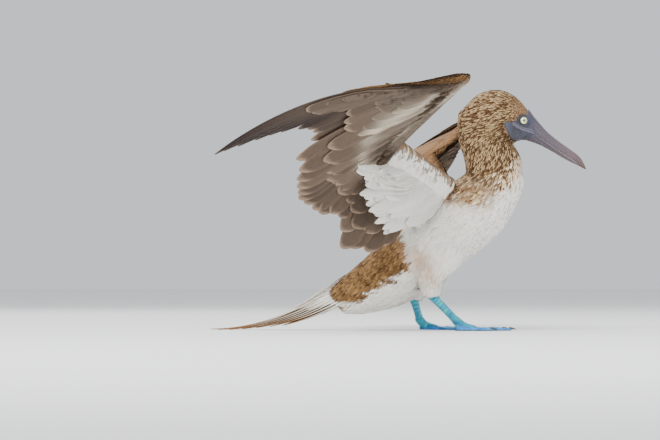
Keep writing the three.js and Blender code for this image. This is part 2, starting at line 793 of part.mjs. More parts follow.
// Eyes, sockets and lids.
function eyeFrame(side) {
  const axis = vector(EYE_AXIS).normalize();
  axis.y *= side;
  const place = vector(EYE_PLACE);
  place.y *= side;
  const depth = Math.sqrt(EYE_RADIUS ** 2 - IRIS_RADIUS ** 2);
  return { axis, place, centre: place.clone().addScaledVector(axis, -depth) };
}

function eyeForm(side, grow = 0) {
  const { centre } = eyeFrame(side);
  return solidOf(new THREE.SphereGeometry(EYE_RADIUS + grow, 14, 9).translate(...centre.toArray()));
}

function lidForm(side) {
  const { axis, place } = eyeFrame(side);
  const ring = new THREE.Object3D();
  ring.position.copy(place);
  ring.lookAt(place.clone().add(axis));
  ring.updateMatrix();
  return solidOf(
    new THREE.TorusGeometry(IRIS_RADIUS + LID_THICKNESS, LID_THICKNESS, 6, 18).applyMatrix4(ring.matrix),
  );
}

const skull = body.intersect(beyond(HEAD_BASE)).intersect(before(BILL_BASE));
const slit = belowMouth(MOUTH_SLIT / 2).subtract(belowMouth(-MOUTH_SLIT / 2));
const head = join([skull, lidForm(1), lidForm(-1)])
  .subtract(eyeForm(1, GAP))
  .subtract(eyeForm(-1, GAP))
  .subtract(slit);
const billForm = headForm().add(roundBody(BILL, BILL_PROFILE, 14, 14)).intersect(beyond(BILL_BASE));

addPart("torso", body.intersect(before(NECK_BASE)), 0xf1ede6, 0.9);
addPart("neck", body.intersect(beyond(NECK_BASE)).intersect(before(HEAD_BASE)), 0xb08a63, 0.9);
addPart("head", head, 0xa07a55, 0.9);
addPart("bill_upper", billForm.subtract(belowMouth(GAP)), 0x6e6a78, 0.45);
addPart("bill_lower", billForm.intersect(belowMouth(0)), 0x5d5a69, 0.45);
addPart("tail", tailForm().subtract(clearance), 0x8a6f50, 0.85);

for (const [name, leg] of Object.entries(LEGS)) {
  const side = name === "left" ? 1 : -1;
  const tarsus = tarsusForm(leg);
  const tarsusClearance = tarsusForm(leg, GAP);
  const floor = halfSpace(point(0, 0, 0), point(0, 0, -1));
  addPart(`eye_${name}`, eyeForm(side), 0xdfe6b8, 0.15);
  addPart(`thigh_${name}`, thighForm(leg).subtract(clearance).subtract(tarsusClearance), 0xefe8de, 0.9);
  addPart(`tarsus_${name}`, tarsus, 0x1fa3b4, 0.5);
  addPart(`foot_${name}`, footForm(leg, -side).subtract(tarsusClearance).subtract(floor), 0x4f9fdc, 0.5);
}

for (const [name, wing] of Object.entries(WINGS)) {
  const atElbow = wingPlane(wing, TERTIALS - 0.5);
  const atWrist = wingPlane(wing, FIRST_PRIMARY - 0.5);
  const armpit = axillaries(wing);
  const inner = wingForm(wing, SHOULDER_PLACE, TERTIALS, 0, TERTIALS - 1).add(armpit);
  const arm = wingForm(wing, TERTIALS - 1, FIRST_PRIMARY, TERTIALS, FIRST_PRIMARY - 1).add(armpit);
  const hand = wingForm(wing, FIRST_PRIMARY - 1, LAST_FEATHER, FIRST_PRIMARY, LAST_FEATHER);
  addPart(`wing_${name}_inner`, inner.intersect(before(atElbow)).subtract(clearance), 0xd9d6d2, 0.85);
  addPart(`wing_${name}_arm`, arm.intersect(beyond(atElbow)).intersect(before(atWrist)), 0x75675c, 0.85);
  addPart(`wing_${name}_hand`, hand.intersect(beyond(atWrist)), 0x5d5049, 0.85);
}

// The origin is under the middle of the whole bird, on the floor.
const box = new THREE.Box3().setFromObject(group);
const centre = box.getCenter(point(0, 0, 0));
group.position.set(-centre.x, -centre.y, -box.min.z);

export default group;
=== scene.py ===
# The dressed blue-footed booby: one skin under small feathers, with full wings, tail, bill and webbed feet.
# Sizes and places are in millimetres in the bird's own frame: +X is the way it faces, +Y its left, and z = 0
# the floor.
import math

import bpy
import numpy as np
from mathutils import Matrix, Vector
from mathutils.bvhtree import BVHTree
from mathutils.kdtree import KDTree


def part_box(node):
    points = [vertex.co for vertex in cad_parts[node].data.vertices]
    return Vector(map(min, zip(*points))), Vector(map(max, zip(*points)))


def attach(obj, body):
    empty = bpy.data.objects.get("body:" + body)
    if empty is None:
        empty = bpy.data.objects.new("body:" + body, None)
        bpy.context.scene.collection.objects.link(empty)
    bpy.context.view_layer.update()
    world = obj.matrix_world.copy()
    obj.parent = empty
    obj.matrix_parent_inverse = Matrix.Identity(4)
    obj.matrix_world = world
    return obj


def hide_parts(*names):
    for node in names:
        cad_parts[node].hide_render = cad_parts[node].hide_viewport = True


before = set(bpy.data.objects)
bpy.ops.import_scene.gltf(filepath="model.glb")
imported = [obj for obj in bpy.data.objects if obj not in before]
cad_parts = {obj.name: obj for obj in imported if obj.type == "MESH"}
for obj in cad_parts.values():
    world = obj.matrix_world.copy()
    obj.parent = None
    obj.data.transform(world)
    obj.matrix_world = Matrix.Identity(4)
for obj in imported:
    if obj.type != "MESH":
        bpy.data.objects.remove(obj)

MM = 0.001
RANDOM = np.random.default_rng(20)
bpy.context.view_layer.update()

# Straight frames that the long forms are measured in: where they start and how far they point down.
TORSO_START = (40, 0, 130)
TORSO_PITCH = 38
BILL_START = (178, 0, 280)
BILL_PITCH = 33.4

# Each row of a profile: distance along, top, bottom, half width.
TORSO_PROFILE = [
    (-158, 6, -12, 8), (-148, 20, -27, 30), (-132, 30, -37, 42), (-111, 37, -48, 51), (-84, 40, -57, 57),
    (-58, 41, -60, 60), (-16, 41, -60, 61), (19, 40, -60, 59), (57, 36.5, -59, 53), (83, 33.5, -54, 46),
    (108, 31.5, -45, 38), (137, 30.5, -30, 29), (158, 28, -14, 21),
]
NECK_PROFILE = [
    (188, 163, 108, 34), (205, 170.5, 97, 37.5), (222, 171.5, 92, 36), (234, 171, 90, 34),
    (245, 168, 87.5, 31.5), (256, 161.5, 83.5, 29), (266, 153, 81, 27.5), (280, 146, 81.5, 26.5),
    (296, 140, 90, 22),
]
HEAD_PROFILE = [
    (82, 303, 278, 7), (85, 307, 268, 15), (94, 315, 259, 22.5), (106, 327.5, 254, 27), (119, 334, 253, 29),
    (134, 336.3, 254, 29), (148, 334, 258, 26.5), (160, 328, 262, 23), (170, 319, 265, 19.5),
    (179, 307.5, 264.5, 16), (188, 297, 262, 12.5),
]
BILL_PROFILE = [
    (-14, 25, -20, 14.5), (-2, 20.5, -16.5, 13), (10, 16.7, -12.7, 11.2), (26, 12.6, -8.8, 9),
    (46, 10.6, -6.9, 7.2), (62, 9.9, -6.2, 6.2), (76, 9.2, -4.9, 5.3), (86, 7.2, -3.2, 4.2),
    (94, 3.7, -2, 2.6), (98.5, 1, -1.4, 0.9),
]
MOUTH_LINE = [(-31, -12), (7, 1), (45, -1), (80, -1.3), (104, -2.4)]
EYE_RADIUS = 8
IRIS_RADIUS = 5
EYE_PLACE = (173.6, 18.1, 292)
EYE_AXIS = (0.36, 0.93, 0.04)

LEGS = {
    "right": dict(hip=(58, -36, 112), shin=(46, -41, 76), ankle=(48, -42, 47), heel=(83, -42, 11),
                  thigh_half=(36, 25), cuff_half=(14.5, 12), turn=2, side=-1),
    "left": dict(hip=(44, 36, 106), shin=(26, 41, 68), ankle=(17, 42, 44), heel=(26.5, 42, 12),
                 thigh_half=(34, 25), cuff_half=(14, 12), turn=-6, side=1),
}
TOES = [(-22, 76), (0, 80), (26, 60), (98, 30)]
CLAW_LENGTH = 8

TERTIALS, SECONDARIES, PRIMARIES = 4, 11, 10
FIRST_PRIMARY = TERTIALS + SECONDARIES
LAST_FEATHER = FIRST_PRIMARY + PRIMARIES - 1
STEADY_FEATHER = 19
INNERMOST_ROOT = 0.45
SHOULDER_PLACE = -INNERMOST_ROOT * TERTIALS / (1 - INNERMOST_ROOT)
WINGS = {
    "right": dict(
        side=-1, front_share=1,
        shoulder=(66, -38, 193), elbow=(-14, -125, 241), wrist=(83, -245, 334), hand_end=(-3, -305, 327),
        tips=[(-3, (10, -50, 126)), (0, (-18, -70, 118)), (2, (-64, -95, 107)), (4, (-73, -120, 150)),
              (6, (-92, -145, 162)), (9, (-127, -180, 176)), (13, (-131, -215, 210)),
              (14.4, (-122, -238, 240)), (15, (-107, -250, 257)), (16.5, (-104, -282, 271)),
              (19, (-139, -350, 267)), (24, (-216, -497, 235))],
        axillary_tips=[(-51, -160, 229), (-38, -138, 180), (-12, -84, 132)]),
    "left": dict(
        side=1, front_share=0.65,
        shoulder=(64, 38, 194), elbow=(30, 132, 238), wrist=(98, 235, 303), hand_end=(66, 290, 258),
        tips=[(-3, (14, 52, 128)), (0, (-16, 78, 130)), (2, (-48, 110, 132)), (4, (-60, 150, 145)),
              (6, (-80, 190, 172)), (9, (-90, 240, 196)), (13, (-86, 290, 198)), (15, (-80, 330, 184)),
              (19, (-62, 395, 147)), (21, (-46, 440, 118)), (24, (-21, 470, 97))],
        axillary_tips=[(-30, 165, 214), (-22, 130, 170), (-6, 84, 132)]),
}
# The arm's flesh from the shoulder to the hand's end: its reach before the bones, behind them, and its depth.
ARM_PROFILE = [(20, 62, 26), (26, 52, 20), (32, 46, 15), (30, 46, 14), (27, 40, 19), (10, 34, 10), (7, 26, 7)]

# The skin lies under the solids' surface by the depth of the coat.
COAT_DEPTH = 2.6
SKIN_VOXEL = 2.4


def vector(*numbers):
    return np.array(numbers, float)


def unit(v):
    v = np.asarray(v, float)
    return v / np.maximum(np.linalg.norm(v, axis=-1, keepdims=True), 1e-9)


def dot(a, b):
    return (np.asarray(a) * np.asarray(b)).sum(-1, keepdims=True)


def mix(a, b, f):
    return a + (b - a) * f


def smooth(low, high, value):
    t = np.clip((np.asarray(value, float) - low) / (high - low), 0, 1)
    return t * t * (3 - 2 * t)


def row_at(rows, t):
    """Rows read at t, from 0 at the first to 1 at the last, with every column on its own smooth curve."""
    rows = np.asarray(rows, float)
    last = len(rows) - 1
    place = np.clip(np.asarray(t, float), 0, 1) * last
    i = np.minimum(place.astype(int), last - 1)
    f = (place - i)[..., None]
    a, b, c, d = (rows[np.clip(i + k, 0, last)] for k in (-1, 0, 1, 2))
    bend = 2 * a - 5 * b + 4 * c - d
    twist = 3 * (b - c) + d - a
    return b + 0.5 * f * (c - a + f * (bend + f * twist))


def column_at(rows, along):
    """A profile read at distances along it."""
    rows = np.asarray(rows, float)
    t = np.interp(along, rows[:, 0], np.linspace(0, 1, len(rows)))
    return row_at(rows, t)


def frame_of(start, pitch, backwards=False):
    """A straight frame for a long form: its start, and the ways along it and up from it."""
    angle = math.radians(pitch)
    way = -1 if backwards else 1
    return dict(
        start=vector(*start),
        along=vector(way * math.cos(angle), 0, -math.sin(angle)),
        up=vector(way * math.sin(angle), 0, math.cos(angle)),
    )


TORSO = frame_of(TORSO_START, TORSO_PITCH, True)
BILL = frame_of(BILL_START, BILL_PITCH)
HEAD = frame_of((0, 0, 0), 0)
NECK = dict(start=vector(0, 0, 0), along=vector(0, 0, 1), up=vector(1, 0, 0))


def in_frame(axes, along, up, side=0):
    place = axes["start"] + np.multiply.outer(along, axes["along"]) + np.multiply.outer(up, axes["up"])
    return place + np.multiply.outer(np.asarray(side, float), vector(0, 1, 0))


def eye_frame(side):
    """The eye's axis, the middle of its iris's rim, and the eyeball's centre."""
    axis = unit(vector(EYE_AXIS[0], EYE_AXIS[1] * side, EYE_AXIS[2]))
    place = vector(EYE_PLACE[0], EYE_PLACE[1] * side, EYE_PLACE[2])
    depth = math.sqrt(EYE_RADIUS ** 2 - IRIS_RADIUS ** 2)
    return axis, place, place - axis * depth


# The part's origin is under its middle, so everything moves by the shift of the left eye's centre.
EYE_BOX = [np.array(corner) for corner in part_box("eye_left")]
SHIFT = (EYE_BOX[0] + EYE_BOX[1]) / 2 / MM - eye_frame(1)[2]


def to_scene(points):
    return (np.asarray(points) + SHIFT) * MM


# Meshes


def grid_faces(rows, columns, closed=True, offset=0):
    """Quads between rings of points."""
    r = np.arange(rows - 1)[:, None]
    k = np.arange(columns if closed else columns - 1)[None, :]
    n = (k + 1) % columns
    quads = np.stack([r * columns + k, r * columns + n, (r + 1) * columns + n, (r + 1) * columns + k], -1)
    return quads.reshape(-1, 4) + offset


def outwards(points, faces):
    """The faces of a closed body, turned round where they face inwards."""
    a, b, c, d = (points[faces[:, k]] for k in range(4))
    volume = (np.cross(a, b) * c).sum() + (np.cross(a, c) * d).sum()
    if volume >= 0:
        return faces
    triangle = faces[:, 2] == faces[:, 3]
    return np.where(triangle[:, None], faces[:, [0, 2, 1, 1]], faces[:, [0, 3, 2, 1]])


def loft(rings):
    """A closed body through rings of points."""
    rings = np.asarray(rings, float)
    count, sides = rings.shape[:2]
    points = np.concatenate([rings.reshape(-1, 3), [rings[0].mean(0), rings[-1].mean(0)]])
    k = np.arange(sides)
    n = (k + 1) % sides
    start = np.stack([np.full(sides, count * sides), n, k, k], -1)
    last = (count - 1) * sides
    end = np.stack([np.full(sides, count * sides + 1), last + k, last + n, last + n], -1)
    return points, outwards(points, np.concatenate([grid_faces(count, sides), start, end]))


def there_and_back(values):
    """Values of closed rings whose second half runs back over the places of the first half."""
    return np.concatenate([values, values[:, ::-1]], 1)


def with_ends(values, first=0, last=0):
    """Values for a loft's points: those of its rings, then one for the middle of each end."""
    return np.concatenate([np.ravel(values), [first, last]])


def combine(meshes):
    """Several meshes as the points and faces of one."""
    points, faces, total = [], [], 0
    for p, f in meshes:
        points.append(p)
        faces.append(np.asarray(f) + total)
        total += len(p)
    return np.concatenate(points), np.concatenate(faces)


def piece(name, points, faces, material, values=None, uv=None, normals=None):
    """A mesh object in the scene. `values` holds named numbers or colours for every point."""
    mesh = bpy.data.meshes.new(name)
    faces = np.asarray(faces)
    triangle = faces[:, 2] == faces[:, 3]
    loops = np.where(triangle, 3, 4)
    keep = np.ones(faces.shape, bool)
    keep[triangle, 3] = False
    corners = faces[keep]
    mesh.vertices.add(len(points))
    mesh.vertices.foreach_set("co", to_scene(points).astype(np.float32).ravel())
    mesh.loops.add(len(corners))
    mesh.loops.foreach_set("vertex_index", corners.astype(np.int32))
    mesh.polygons.add(len(faces))
    starts = np.concatenate([[0], np.cumsum(loops)[:-1]])
    mesh.polygons.foreach_set("loop_start", starts.astype(np.int32))
    mesh.update(calc_edges=True)
    for key, value in (values or {}).items():
        value = np.asarray(value, np.float32)
        if value.ndim == 2:
            layer = mesh.attributes.new(key, "FLOAT_COLOR", "POINT")
            layer.data.foreach_set("color", np.concatenate([value, np.ones((len(value), 1))], 1).ravel())
        else:
            mesh.attributes.new(key, "FLOAT", "POINT").data.foreach_set("value", value)
    if uv is not None:
        layer = mesh.uv_layers.new(name="OFBake")
        layer.data.foreach_set("uv", np.asarray(uv, np.float32)[corners].ravel())
    mesh.polygons.foreach_set("use_smooth", np.ones(len(faces), bool))
    mesh.materials.append(material)
    thing = bpy.data.objects.new(name, mesh)
    bpy.context.scene.collection.objects.link(thing)
    mesh.validate()
    if normals is not None:
        mesh.normals_split_custom_set_from_vertices(unit(normals).tolist())
    return thing


def finish_piece(thing, slot, *nodes):
    """Says what the piece rides on and hides the nodes that it replaces. Its slot is not used."""
    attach(thing, "root")
    if nodes:
        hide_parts(*nodes)
    return thing


class Bag:
    """Meshes with their values and map places, gathered into one piece."""

    def __init__(self):
        self.points, self.faces, self.uv, self.values, self.total = [], [], [], {}, 0

    def add(self, points, faces, uv, **values):
        self.points.append(points)
        self.faces.append(np.asarray(faces) + self.total)
        self.uv.append(uv)
        self.total += len(points)
        for key, value in values.items():
            self.values.setdefault(key, []).append(value)

    def add_vane(self, feather, corner, size, tone, seed):
        """Adds what `vane` returned. Its patch of the map has the given corner and size."""
        points, faces, t, u, barb = feather
        # The vane's length runs up the patch and its width across it.
        uv = np.stack([corner[0] + size[0] * (u + 1) / 2, corner[1] + size[1] * t], 1)
        self.add(points, faces, uv, tone=tone, along=t, across=u, barb=barb, seed=np.full(len(t), seed))
    def make(self, name, material):
        values = {key: np.concatenate(parts) for key, parts in self.values.items()}
        points, faces = np.concatenate(self.points), np.concatenate(self.faces)
        normals = values.pop("normals", None)
        return piece(name, points, faces, material, values, np.concatenate(self.uv), normals=normals)


# Forms of the body and limbs


def round_body(axes, profile, rings, sides, grow):
    """Rings of a body in a straight frame, from a profile of its top, bottom and half width."""
    along, top, bottom, half = row_at(profile, np.linspace(0, 1, rings)).T[:, :, None]
    angle = np.linspace(0, 2 * math.pi, sides, endpoint=False)
    height = (top + bottom) / 2 + ((top - bottom) / 2 + grow) * np.sin(angle)
    side = (half + grow) * np.cos(angle)
    return in_frame(axes, along * np.ones(sides), height, side)


def limb(points, halves, sides):
    """Rings along a path with half sizes across it: in the plane of the path and to its side."""
    points, halves = np.asarray(points, float), np.asarray(halves, float)
    way = unit(np.gradient(points, axis=0))
    side = unit(vector(0, 1, 0) - dot(way, vector(0, 1, 0)) * way)
    front = np.cross(side, way)
    angle = np.linspace(0, 2 * math.pi, sides, endpoint=False)
    ring = halves[:, :1, None] * np.cos(angle)[:, None] * front[:, None]
    return points[:, None] + ring + halves[:, 1:, None] * np.sin(angle)[:, None] * side[:, None]


def thigh_rings(leg, grow, rings=14, sides=28):
    """Rings of a thigh, from inside the body down to the cuff of feathers at the ankle."""
    hip, half = leg["hip"], leg["thigh_half"]
    rows = [
        (hip[0] - 4, hip[1] * 0.55, hip[2] + 26, half[0] * 0.7, half[1] * 0.7),
        (*hip, *half),
        (*leg["shin"], half[0] * 0.6, half[1] * 0.84),
        (*leg["ankle"], *leg["cuff_half"]),
    ]
    read = row_at(rows, np.linspace(0, 1, rings))
    return limb(read[:, :3], read[:, 3:] + grow, sides)


# Wings: places are numbered like the flight feathers, and may lie between two of them


def tip_of(wing, place):
    """Where the feather at a place ends."""
    numbers = [n for n, _ in wing["tips"]]
    tips = [tip for _, tip in wing["tips"]]
    return row_at(tips, np.interp(place, numbers, np.linspace(0, 1, len(tips))))


def root_of(wing, place):
    """Where the feather at a place starts on the bones: upper arm, forearm or hand."""
    place = np.asarray(place, float)[..., None]
    shoulder, elbow, wrist, hand = (vector(*wing[k]) for k in ("shoulder", "elbow", "wrist", "hand_end"))
    upper = mix(shoulder, elbow, mix(INNERMOST_ROOT, 1, place / TERTIALS))
    fore = mix(elbow, wrist, (place - TERTIALS) / SECONDARIES)
    outer = mix(wrist, hand, (place - FIRST_PRIMARY) / (PRIMARIES - 1))
    return np.where(place < TERTIALS, upper, np.where(place < FIRST_PRIMARY, fore, outer))


def feather_frame(wing, place):
    """A feather's root and tip, its way, the way to its outer neighbour, and up out of the upper side."""
    root, tip = root_of(wing, place), tip_of(wing, place)
    way = unit(tip - root)
    inner = np.minimum(place, STEADY_FEATHER) - 1
    lead = tip_of(wing, inner + 2) - tip_of(wing, inner) + root_of(wing, inner + 2) - root_of(wing, inner)
    dorsal = unit(np.cross(way, lead))
    dorsal = dorsal * np.where(dot(dorsal, vector(-0.5, -0.3 * wing["side"], 0.8)) < 0, -1, 1)
    across = unit(lead - dot(lead, way) * way)
    return root, tip, way, across, dorsal


def arm_size(place):
    """How far the arm reaches before and behind the bones at a place, and its depth."""
    t = (np.asarray(place, float) - SHOULDER_PLACE) / (LAST_FEATHER - SHOULDER_PLACE)
    return row_at(ARM_PROFILE, t)


def arm_point(wing, place, chord, side, lift=0):
    """A point on the arm. Chord is -1 at its front edge and 1 at its rear one, side 1 on the upper side."""
    root, _, way, _, dorsal = feather_frame(wing, place)
    front, back, thick = arm_size(place).T
    along = np.where(chord < 0, chord * front * wing["front_share"], chord * back)
    shape = np.interp(chord, [-1, -0.85, -0.35, 0, 0.4, 0.75, 1], [0.3, 0.7, 1, 1, 0.8, 0.5, 0.15])
    height = side * (thick / 2 * shape + lift)
    return root + way * along[..., None] + dorsal * np.asarray(height)[..., None]


def arm_rings(wing, grow):
    places = np.linspace(SHOULDER_PLACE, LAST_FEATHER, 70)
    chords = np.linspace(-1, 0.8, 12)
    upper = [arm_point(wing, places, np.full(len(places), c), 1, grow) for c in chords]
    under = [arm_point(wing, places, np.full(len(places), c), -1, grow) for c in chords[::-1]]
    return np.stack(upper + under, 1)


def skin_form():
    """One skin over torso, neck, head, thighs and arms, as points and triangles."""
    forms = [
        round_body(TORSO, TORSO_PROFILE, 60, 60, -COAT_DEPTH),
        round_body(NECK, NECK_PROFILE, 30, 60, -COAT_DEPTH * 0.8),
        round_body(HEAD, HEAD_PROFILE, 40, 60, -COAT_DEPTH * 0.6),
        *[thigh_rings(leg, -COAT_DEPTH * 0.7) for leg in LEGS.values()],
        *[arm_rings(wing, -1.5) for wing in WINGS.values()],
    ]
    points, faces = combine([loft(rings) for rings in forms])
    rough = piece("rough_skin", points, faces, bpy.data.materials.new("rough"))
    remesh = rough.modifiers.new("remesh", "REMESH")
    remesh.mode = "VOXEL"
    remesh.voxel_size = SKIN_VOXEL * MM
    ease = rough.modifiers.new("ease", "SMOOTH")
    ease.iterations = 8
    bpy.context.view_layer.update()
    result = rough.evaluated_get(bpy.context.evaluated_depsgraph_get())
    mesh = result.to_mesh()
    mesh.calc_loop_triangles()
    co = np.empty(len(mesh.vertices) * 3, np.float32)
    mesh.vertices.foreach_get("co", co)
    corners = np.empty(len(mesh.loop_triangles) * 3, np.int32)
    mesh.loop_triangles.foreach_get("vertices", corners)
    result.to_mesh_clear()
    bpy.data.objects.remove(rough)
    triangles = corners.reshape(-1, 3)
    return co.reshape(-1, 3).astype(float) / MM - SHIFT, np.concatenate([triangles, triangles[:, 2:]], 1)


# Feathers


def bezier(line, t):
    root, control, tip = (np.asarray(p, float) for p in line)
    t = np.asarray(t, float)[..., None]
    place = (1 - t) ** 2 * root + 2 * t * (1 - t) * control + t * t * tip
    return place, unit((1 - t) * (control - root) + t * (tip - control))


# Outlines of a vane: shares of its width at even steps along it, and where its end begins to round off.
OUTLINES = {
    "round": ([(0.35,), (0.8,), (0.97,), (1,), (1,), (1,), (1,), (0.97,), (0.94,)], 0.84),
    "full": ([(0.4,), (0.8,), (0.97,), (1,), (1,), (1,), (0.98,), (0.92,), (0.85,)], 0.84),
    "blade": ([(0.4,), (0.8,), (0.97,), (1,), (1,), (0.96,), (0.88,), (0.72,), (0.5,)], 0.86),
    "pointed": ([(0.4,), (0.85,), (1,), (0.98,), (0.9,), (0.76,), (0.6,), (0.44,), (0.3,)], 0.9),
    "soft": ([(0.3,), (0.7,), (0.92,), (1,), (1,), (1,), (0.96,), (0.88,), (0.8,)], 0.72),
    "plume": ([(0.3,), (0.6,), (0.85,), (1,), (1,), (0.97,), (0.9,), (0.82,), (0.74,)], 0.74),
}
# How far a barb slants: the distance along for each millimetre across.
BARB_SLOPE = 0.8
# Each vane is tilted by the depth of a layer, so that its outer edge lies over its outer neighbour.
LAYER = 1.3
# The steepest tilt, as a rise for each millimetre across.
STEEPEST_TILT = 0.3
# How much higher each feather lies than its outer neighbour.
STACKING = 0.8
# Steadies the way to the neighbour where two feathers start from nearly one point.
STEADYING = 6
# Flight feathers from the innermost to the outermost: narrow and wide half of the vane, and bow.
FLIGHT_PROFILE = [(12, 21, 8), (12, 22, 14), (11, 22, 18), (9, 21, 18), (7, 20, 24), (4.5, 13, 38)]
# Places of a vane's points across it, from the narrow side's edge over the shaft to the wide side's edge.
VANE_ACROSS = np.array([1, 0.55, 0.12, 0, -0.12, -0.4, -0.7, -1])


def vane(line, beside, dorsal, narrow, wide, outline, span=(0, 1), lift=(0, 0), layer=LAYER,
         stations=15, thick=0.5, shaft=1.3, droop=0.0, ragged=0.0):
    """A feather as a thin closed vane with a raised shaft along a line of root, control point and tip.

    `beside` gives the way to the next feather at places along, `narrow` and `wide` are the vane's two halves,
    `span` is its stretch of the line, and `lift` raises it at both ends. Returns points, faces, the shares
    along and across, and the distance along at which a point's barb starts.
    """
    # The stations lie closer towards the tip, where the outline rounds off.
    t = 1 - (1 - np.linspace(0, 1, stations)) ** 1.35
    along = mix(*span, t)
    place, way = bezier(line, along)
    across = beside(along)
    across = across - dot(across, way) * way
    tilt = np.minimum(layer / np.linalg.norm(across, axis=1, keepdims=True), STEEPEST_TILT)
    across = unit(across)
    up = unit(np.cross(across, way))
    up = up * np.where(dot(up, dorsal) < 0, -1, 1)
    shares, rounded = OUTLINES[outline]
    end = np.clip((t[:, None] - rounded) / (1 - rounded), 0, 1)
    width = row_at(shares, t) * np.sqrt(1 - 0.985 * end * end)
    width = width * (1 + ragged * (RANDOM.random((stations, 1)) - 0.5))
    u = VANE_ACROSS
    side = u * np.where(u > 0, narrow, wide) * width
    edge = np.abs(u) > 0.9
    bulge = np.where(u == 0, shaft / 2, 0) * (1 - 0.75 * t[:, None]) + np.where(edge, thick * 0.25, thick / 2)
    bend = tilt * side - droop * (side / max(narrow, wide)) ** 2 * width + mix(*lift, t)[:, None]
    flat = place[:, None] + side[..., None] * across[:, None]
    top, under = (flat + height[..., None] * up[:, None] for height in (bend + bulge, bend - bulge))
    rings = np.concatenate([top, under[:, ::-1]], 1)
    points, faces = loft(rings)
    sides = rings.shape[1]
    t_values = with_ends(np.repeat(t, sides), 0, 1)
    u_values = with_ends(np.tile(there_and_back(u[None]), (stations, 1)))
    steps = np.linalg.norm(np.diff(place, axis=0), axis=1)
    length = np.concatenate([[0], np.cumsum(steps)])
    barb = length[:, None] - BARB_SLOPE * np.abs(there_and_back(side))
    return points, faces, t_values, u_values, with_ends(barb, 0, length[-1])


def flight_line(wing, place):
    """Root, control point and tip of a flight feather, bowed upwards."""
    root, tip, way, _, _ = feather_frame(wing, place)
    bow = row_at(FLIGHT_PROFILE, place / LAST_FEATHER)[2]
    return root + way * 2, (root + tip) / 2 + vector(0, 0, bow), tip


def steady(way):
    """The same way to the next feather all along a vane."""
    return lambda t: np.tile(way, (len(t), 1))


def step_outwards(wing, place):
    """The way from a flight feather to its outer neighbour, at t along both."""
    first = FIRST_PRIMARY if place >= FIRST_PRIMARY else TERTIALS if place >= TERTIALS else -1
    inner, outer = max(place - 1, first), min(place + 1, LAST_FEATHER)
    start, end = flight_line(wing, inner), flight_line(wing, outer)
    across = feather_frame(wing, place)[3]
    return lambda t: (bezier(end, t)[0] - bezier(start, t)[0]) / (outer - inner) + across * STEADYING


# Half the size of a small feather's patch on the map.
PATCH_HALF = 0.0015


def tufts(root, way, up, length, width, skin, lift, seeds, uv, stations=4, flare=1.0):
    """Many small closed feathers that lie along the skin. `skin` finds the nearest place on it."""
    count = len(root)
    middle, tip = root + way * length[:, None] / 2, root + way * length[:, None]
    for target, rise in ((middle, lift * 0.75), (tip, lift)):
        for i in range(count):
            place, normal, _, _ = skin.find_nearest(Vector(target[i]))
            target[i] = np.array(place) + np.array(normal) * rise[i]
    root = root - up * 0.8
    t = np.linspace(0, 1, stations)
    shape = np.interp(t, [0, 0.35, 0.7, 0.9, 1], [0.45, 0.95, 1, 0.75, 0.3 * flare])
    a, b, c = (1 - t) ** 2, 2 * t * (1 - t), t * t
    control = 2 * middle - (root + tip) / 2
    line = a[:, None] * root[:, None] + b[:, None] * control[:, None] + c[:, None] * tip[:, None]
    across = unit(np.cross(way, up))
    side = across[:, None] * (width[:, None] * shape / 2)[..., None]
    thick = up[:, None] * (width[:, None] * np.interp(t, [0, 0.5, 1], [0.1, 0.12, 0.03]))[..., None]
    facing = np.stack([unit(up + across * 0.3), up, unit(up - across * 0.3), up], 1)
    normals = np.repeat(facing[:, None], stations, 1).reshape(-1, 3)
    rings = np.stack([line + side, line + thick, line - side, line - thick * 0.5], 2)
    points = rings.reshape(-1, 3)
    one = grid_faces(stations, 4)
    last = (stations - 1) * 4
    caps = np.array([[3, 2, 1, 0], [last, last + 1, last + 2, last + 3]])
    block = np.concatenate([one, caps])[:, ::-1]
    faces = (block[None] + (np.arange(count) * stations * 4)[:, None, None]).reshape(-1, 4)
    along = np.tile(np.repeat(t, 4), count)
    u = np.tile(np.tile([1, 0, -1, 0], stations), count)
    spread = np.stack([u, 2 * (along - 0.5)], 1) * PATCH_HALF
    step = stations * 4
    length, width = np.repeat(length, step), np.repeat(width, step)
    barb = along * length - BARB_SLOPE * np.abs(u) * width / 2
    values = dict(along=along, across=u, seed=np.repeat(seeds, step), normals=normals, barb=barb)
    return points, faces, np.repeat(uv, step, 0) + spread, values


# Colours and markings


# How much stronger and deeper than on a screen colours are painted, as the picture's tones pale them.
COLOUR_STRENGTH = 1.1
COLOUR_DEPTH = 1.16


def paint(code):
    """A screen colour, written as six hexadecimal digits, as a linear colour by the usual screen curve."""
    channels = np.array([int(code[i:i + 2], 16) for i in (0, 2, 4)]) / 255
    linear = np.where(channels <= 0.04045, channels / 12.92, ((channels + 0.055) / 1.055) ** 2.4)
    return np.clip(mix(linear.mean(), linear, COLOUR_STRENGTH), 0.001, 1) ** COLOUR_DEPTH


WHITE, CREAM = paint("efece4"), paint("dccdb4")
STREAK_LIGHT, STREAK_DARK = paint("dec39c"), paint("4a3220")
FOREHEAD, RUST = paint("d3ab88"), paint("8c5a2a")
FLANK_LIGHT, FLANK_DARK = paint("ad8c64"), paint("4f3a28")
PINK_BROWN = paint("c3a184")
SLATE, SLATE_DARK = paint("484750"), paint("2b2b33")
UNDER_GREY, UNDER_EDGE, TIP_DARK = paint("6b5d52"), paint("a08c7b"), paint("352826")
UPPER_BROWN, UPPER_EDGE, COVERT_BROWN = paint("62493a"), paint("9c8064"), paint("967656")
BAND_PALE, BAND_DARK = paint("bdb2a2"), paint("3c2f1f")
TAIL_PALE, TAIL_BUFF, TAIL_BROWN = paint("e2dccf"), paint("a8825a"), paint("56422f")


